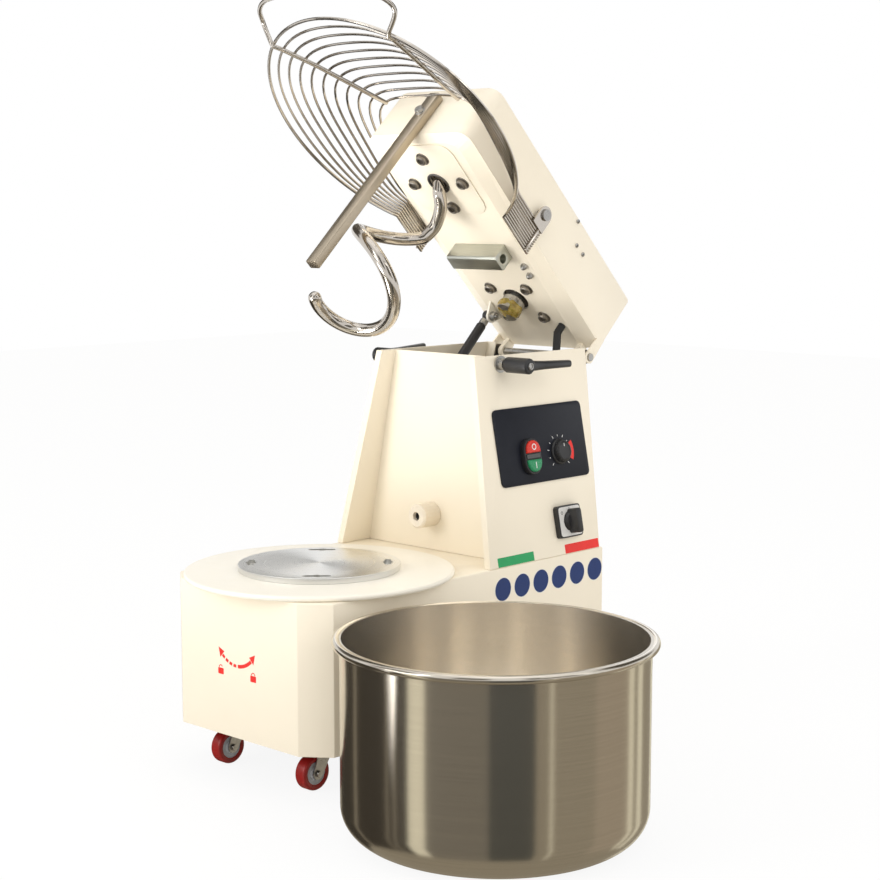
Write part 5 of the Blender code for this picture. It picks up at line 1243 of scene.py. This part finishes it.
def plate_outline(half_width, half_height, points=64):
    """Rectangle with softly rounded corners, drawn by angle."""
    outline = []
    for k in range(points):
        angle = 2 * math.pi * k / points
        c = abs(math.cos(angle)) / half_width
        s = abs(math.sin(angle)) / half_height
        reach = (c ** 14 + s ** 14) ** (-1 / 14)
        outline.append((reach * math.cos(angle), reach * math.sin(angle)))
    return outline


def ring_loft(levels):
    """Closed skin that runs from outline to outline and back to the first."""
    shape = bmesh.new()
    rings = [[shape.verts.new((x, y, height)) for x, y in outline] for outline, height in levels]
    for low, high in zip(rings, rings[1:] + rings[:1]):
        for k in range(len(low)):
            after = (k + 1) % len(low)
            shape.faces.new((low[k], low[after], high[after], high[k]))
    return shape


def selector_face():
    """Black box of the selector with its silver film and the two position marks."""
    half_width = SELECTOR_WIDTH / 2
    half_height = SELECTOR_HEIGHT / 2
    hole = arc(0, 0, 15.8 * MM, 0, 354.375, 63)
    matrix = control_matrix(SELECTOR_ACROSS, SELECTOR_UP, 0.1 * MM)
    box = ring_loft([(plate_outline(half_width, half_height), 0),
                     (plate_outline(half_width, half_height), SELECTOR_DEPTH - 0.8 * MM),
                     (plate_outline(half_width - 0.8 * MM, half_height - 0.8 * MM), SELECTOR_DEPTH),
                     (plate_outline(half_width - 2 * MM, half_height - 2 * MM), SELECTOR_DEPTH),
                     (hole, SELECTOR_DEPTH), (hole, 0)])
    black = finishes["black_plastic"]
    piece = add_piece("selector_box", placed(box, matrix), black, "frame")
    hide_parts("selector_plate")
    rim = plate_outline(half_width - 2.2 * MM, half_height - 2.2 * MM)
    film = ring_loft([(rim, 0.02 * MM), (rim, 0.2 * MM), (hole, 0.2 * MM), (hole, 0.02 * MM)])
    top = matrix @ Matrix.Translation((0, 0, SELECTOR_DEPTH))
    add_piece("selector_film", placed(film, top), finishes["silver_film"], "frame")
    zero = band((-18 * MM, 14 * MM), 1.7 * MM, 2.5 * MM, 0, 359, 20)
    one = bar(0, 17 * MM, 0, 21 * MM, 1 * MM)
    marks = flat_print([zero, one], top @ Matrix.Translation((0, 0, 0.22 * MM)))
    add_piece("selector_marks", marks, black, "frame")


def button_marks():
    """A ring on the stop button and a stroke on the start button."""
    ring = control_matrix(SWITCH_ACROSS, SWITCH_UP + 14 * MM, BUTTON_FACE + INK_GAP)
    mark = flat_print([band((0, 0), 3.4 * MM, 4.9 * MM, 0, 359.5, 32)], ring)
    add_piece("stop_mark", mark, finishes["white_ink"], "stop")
    stroke = control_matrix(SWITCH_ACROSS, SWITCH_UP - 14 * MM, BUTTON_FACE + INK_GAP)
    mark = flat_print([bar(0, -5 * MM, 0, 5 * MM, 1.5 * MM)], stroke)
    add_piece("start_mark", mark, finishes["white_ink"], "start")

# Studio
FLOOR_SIZE = 14.0
FLOOR_WHITENESS = 0.9
AMBIENT = 0.88
SOFT_WHITE = (1.0, 0.985, 0.96)
CARD_RADIUS = 1.3
CARD_HEIGHT = 0.32
CARD_DEPTH = 1.0
DARK = (0.055, 0.047, 0.036)
MIDDLE = (0.34, 0.30, 0.23)
BRIGHT = (0.95, 0.9, 0.72)
SIDE = (0.22, 0.20, 0.165)
SHADE = (0.09, 0.09, 0.08)
WARM = (0.42, 0.36, 0.28)
CARDS = ((-178, -150, MIDDLE), (-150, -118, DARK), (-118, -114, MIDDLE), (-114, -80, DARK),
         (-80, -78, MIDDLE), (-78, -73, DARK), (-73, -71, MIDDLE), (-71, -61, DARK), (-61, -48, BRIGHT),
         (-48, -4, SIDE), (-4, 27, SHADE), (27, 37, MIDDLE), (37, 39, BRIGHT), (39, 72, MIDDLE),
         (72, 106, WARM), (106, 113, BRIGHT), (113, 119, MIDDLE), (119, 127, BRIGHT),
         (127, 150, MIDDLE), (150, 158, BRIGHT), (158, 182, MIDDLE))
SCREEN_RADIUS = 2.4
SCREEN_LOW = 0.75
SCREEN_HIGH = 2.8
SCREEN_GREY = (0.10, 0.09, 0.075)
SCREENS = ((-172, -118), (-96, -58), (-30, -4), (22, 66), (92, 150))

# Lamps: name, place, aim, width, power and spread of the beam in degrees
LAMPS = (("key", (-0.9, -3.0, 1.5), (0, 0.1, 0.2), 1.8, 43, 180),
         ("low", (-0.5, -1.1, -0.15), (0, 0.25, 0.68), 0.6, 2.2, 50),
         ("fill", (3.0, 0.2, 1.8), (0, 0.2, 0.1), 1.6, 16, 180),
         ("top", (0.2, 0.1, 3.2), (0.1, 0.1, 0), 2.4, 9, 180))


def add_camera():
    data = bpy.data.cameras.new("camera")
    data.lens = CAMERA_LENS
    data.sensor_width = 36
    data.clip_end = 50
    camera = bpy.data.objects.new("camera", data)
    camera.location = CAMERA_PLACE
    camera.rotation_euler = (CAMERA_TILT, 0, CAMERA_TURN)
    bpy.context.scene.collection.objects.link(camera)
    bpy.context.scene.camera = camera


def add_lamp(name, place, aim, width, power, spread):
    """Square lamp of soft white light."""
    data = bpy.data.lights.new(name, "AREA")
    data.shape = "SQUARE"
    data.size = width
    data.energy = power
    data.color = SOFT_WHITE
    data.spread = math.radians(spread)
    light = bpy.data.objects.new(name, data)
    light.location = place
    light.rotation_euler = (Vector(aim) - Vector(place)).to_track_quat("-Z", "Y").to_euler()
    bpy.context.scene.collection.objects.link(light)


def seen_directly(tree):
    """One where a ray comes from the camera, a mirror or glass, and nought elsewhere."""
    path = tree.nodes.new("ShaderNodeLightPath")
    result = path.outputs["Is Camera Ray"]
    for kind in ("Is Glossy Ray", "Is Transmission Ray"):
        either = tree.nodes.new("ShaderNodeMath")
        either.operation = "MAXIMUM"
        tree.links.new(result, either.inputs[0])
        tree.links.new(path.outputs[kind], either.inputs[1])
        result = either.outputs["Value"]
    return result


def add_world():
    """White surroundings for the eye, mirrors and glass, and a softer level for the light they give."""
    world = bpy.data.worlds.new("studio")
    world.use_nodes = True
    tree = world.node_tree
    background = tree.nodes["Background"]
    background.inputs["Color"].default_value = (*SOFT_WHITE, 1)
    background.inputs["Strength"].default_value = AMBIENT
    white = tree.nodes.new("ShaderNodeBackground")
    white.inputs["Color"].default_value = (1, 1, 1, 1)
    mix = tree.nodes.new("ShaderNodeMixShader")
    tree.links.new(seen_directly(tree), mix.inputs["Fac"])
    tree.links.new(background.outputs["Background"], mix.inputs[1])
    tree.links.new(white.outputs["Background"], mix.inputs[2])
    tree.links.new(mix.outputs["Shader"], tree.nodes["World Output"].inputs["Surface"])
    bpy.context.scene.world = world


def add_floor():
    """Wide white floor that keeps the soft shadows."""
    shape = bmesh.new()
    bmesh.ops.create_grid(shape, x_segments=8, y_segments=8, size=FLOOR_SIZE / 2)
    shape.transform(Matrix.Translation((0, 0, FLOOR - 0.5 * MM)))
    mesh = bpy.data.meshes.new("floor")
    shape.to_mesh(mesh)
    shape.free()
    material = new_finish("floor_white", (0.95, 0.945, 0.935), 0.8)
    vary_roughness(material, noise_on(material, 3), 0.75, 0.9)
    tree = material.node_tree
    glow = tree.nodes.new("ShaderNodeEmission")
    share = tree.nodes.new("ShaderNodeMath")
    share.operation = "MULTIPLY"
    share.inputs[1].default_value = FLOOR_WHITENESS
    mix = tree.nodes.new("ShaderNodeMixShader")
    tree.links.new(seen_directly(tree), share.inputs[0])
    tree.links.new(share.outputs["Value"], mix.inputs["Fac"])
    tree.links.new(shader_of(material).outputs["BSDF"], mix.inputs[1])
    tree.links.new(glow.outputs["Emission"], mix.inputs[2])
    tree.links.new(mix.outputs["Shader"], tree.nodes["Material Output"].inputs["Surface"])
    mesh.materials.append(material)
    floor = bpy.data.objects.new("floor", mesh)
    bpy.context.scene.collection.objects.link(floor)
    floor.visible_glossy = False


def hide_from_all_but_mirrors(item):
    """Stage cards that only polished metal shows."""
    item.visible_camera = False
    item.visible_diffuse = False
    item.visible_shadow = False
    item.visible_transmission = False
    item.visible_volume_scatter = False


def card_glow(name, colour):
    material = bpy.data.materials.new(name)
    material.use_nodes = True
    tree = material.node_tree
    tree.nodes.remove(tree.nodes["Principled BSDF"])
    glow = tree.nodes.new("ShaderNodeEmission")
    glow.inputs["Color"].default_value = (*colour, 1)
    tree.links.new(glow.outputs["Emission"], tree.nodes["Material Output"].inputs["Surface"])
    return material


def add_card(name, shape, colour):
    """Link a glowing card that only polished metal shows."""
    mesh = bpy.data.meshes.new(name)
    shape.to_mesh(mesh)
    shape.free()
    mesh.materials.append(card_glow(name, colour))
    card = bpy.data.objects.new(name, mesh)
    bpy.context.scene.collection.objects.link(card)
    hide_from_all_but_mirrors(card)


def curved_card(radius, start, end, low, high):
    """Part of an upright drum round the bowl, between two angles from the camera's direction."""
    toward_camera = math.atan2(CAMERA_PLACE[1] - BOWL_Y, CAMERA_PLACE[0] - BOWL_X)
    shape = bmesh.new()
    rows = []
    for height in (low, high):
        row = []
        for s in range(5):
            angle = toward_camera + math.radians(start + (end - start) * s / 4)
            x = BOWL_X + radius * math.cos(angle)
            y = BOWL_Y + radius * math.sin(angle)
            row.append(shape.verts.new((x, y, height)))
        rows.append(row)
    for s in range(4):
        shape.faces.new((rows[0][s], rows[0][s + 1], rows[1][s + 1], rows[1][s]))
    return shape


def add_cards():
    """Strips and a disc round the bowl, and dark screens higher up, as a hall gives steel to mirror."""
    for number, (start, end, colour) in enumerate(CARDS, 1):
        strip = curved_card(CARD_RADIUS, start, end, FLOOR - CARD_DEPTH, FLOOR + CARD_HEIGHT)
        add_card(f"card_{number}", strip, colour)
    disc = bmesh.new()
    bmesh.ops.create_circle(disc, cap_ends=True, segments=48, radius=CARD_RADIUS)
    disc.transform(Matrix.Translation((BOWL_X, BOWL_Y, FLOOR - CARD_DEPTH)))
    add_card("card_below", disc, MIDDLE)
    for number, (start, end) in enumerate(SCREENS, 1):
        screen = curved_card(SCREEN_RADIUS, start, end, SCREEN_LOW, SCREEN_HIGH)
        add_card(f"screen_{number}", screen, SCREEN_GREY)


def finish_for(name):
    """The finish that a node of the model is shown in."""
    return NODE_FINISH.get(name, slot_of(frame["nodes"][name]))


def finish_nodes():
    """Give every node of the model the finish of its material slot."""
    for name, node in frame["nodes"].items():
        node.data.materials[0] = finishes[finish_for(name)]


NODE_FINISH = {"breaker_bar": "bar_steel", "conduit": "black_rubber", "bowl_plate": "turned_aluminium",
               "mixing_bowl": "bowl_steel", "selector_plate": "silver_film", "strut_bracket": "white_paint"}

# Pieces of the model whose edges are eased, with the width of the edge
EASED = {"base_housing": 1.6, "column_housing": 1.2, "head_cover": 3.0, "nose_plate": 0.8,
         "clamp_block": 1.0, "breaker_bar": 0.8, "control_panel": 0.8, "switch_bezel": 0.8,
         "stop_button": 0.5, "start_button": 0.5, "selector_knob": 0.8, "clamp_lever_right": 1.0,
         "clamp_lever_left": 1.0, "strut_bracket": 0.5, "hinge_bracket_left": 0.6,
         "hinge_bracket_right": 0.6}

bpy.context.scene.view_settings.view_transform = "Standard"
finishes = make_finishes()
fine_bowl()
fine_plate()
fine_disc()
fine_guard()
fine_hook()
head_bolts()
seal_ring("spindle_seal", underside(0, SPIRAL_ALONG, NOSE_PLATE_FACE), 15.5 * MM, 4 * MM, "dark_steel")
cover_screws()
bar_bolt()
strut_nut()
cap_nuts()
clutch_grease()
for caster_name, (caster_x, caster_y) in CASTERS.items():
    caster(caster_name, caster_x, caster_y)
bumper_screw()
rear_screws()
front_marks()
side_marks()
lever_fittings()
spring_neck()
fine_conduit()
panel_marks()
timer_grip()
selector_face()
button_marks()
for node_name, edge_width in EASED.items():
    eased_copy(node_name, finishes[finish_for(node_name)], edge_width * MM)
finish_nodes()
add_camera()
add_world()
for lamp in LAMPS:
    add_lamp(*lamp)
add_floor()
add_cards()
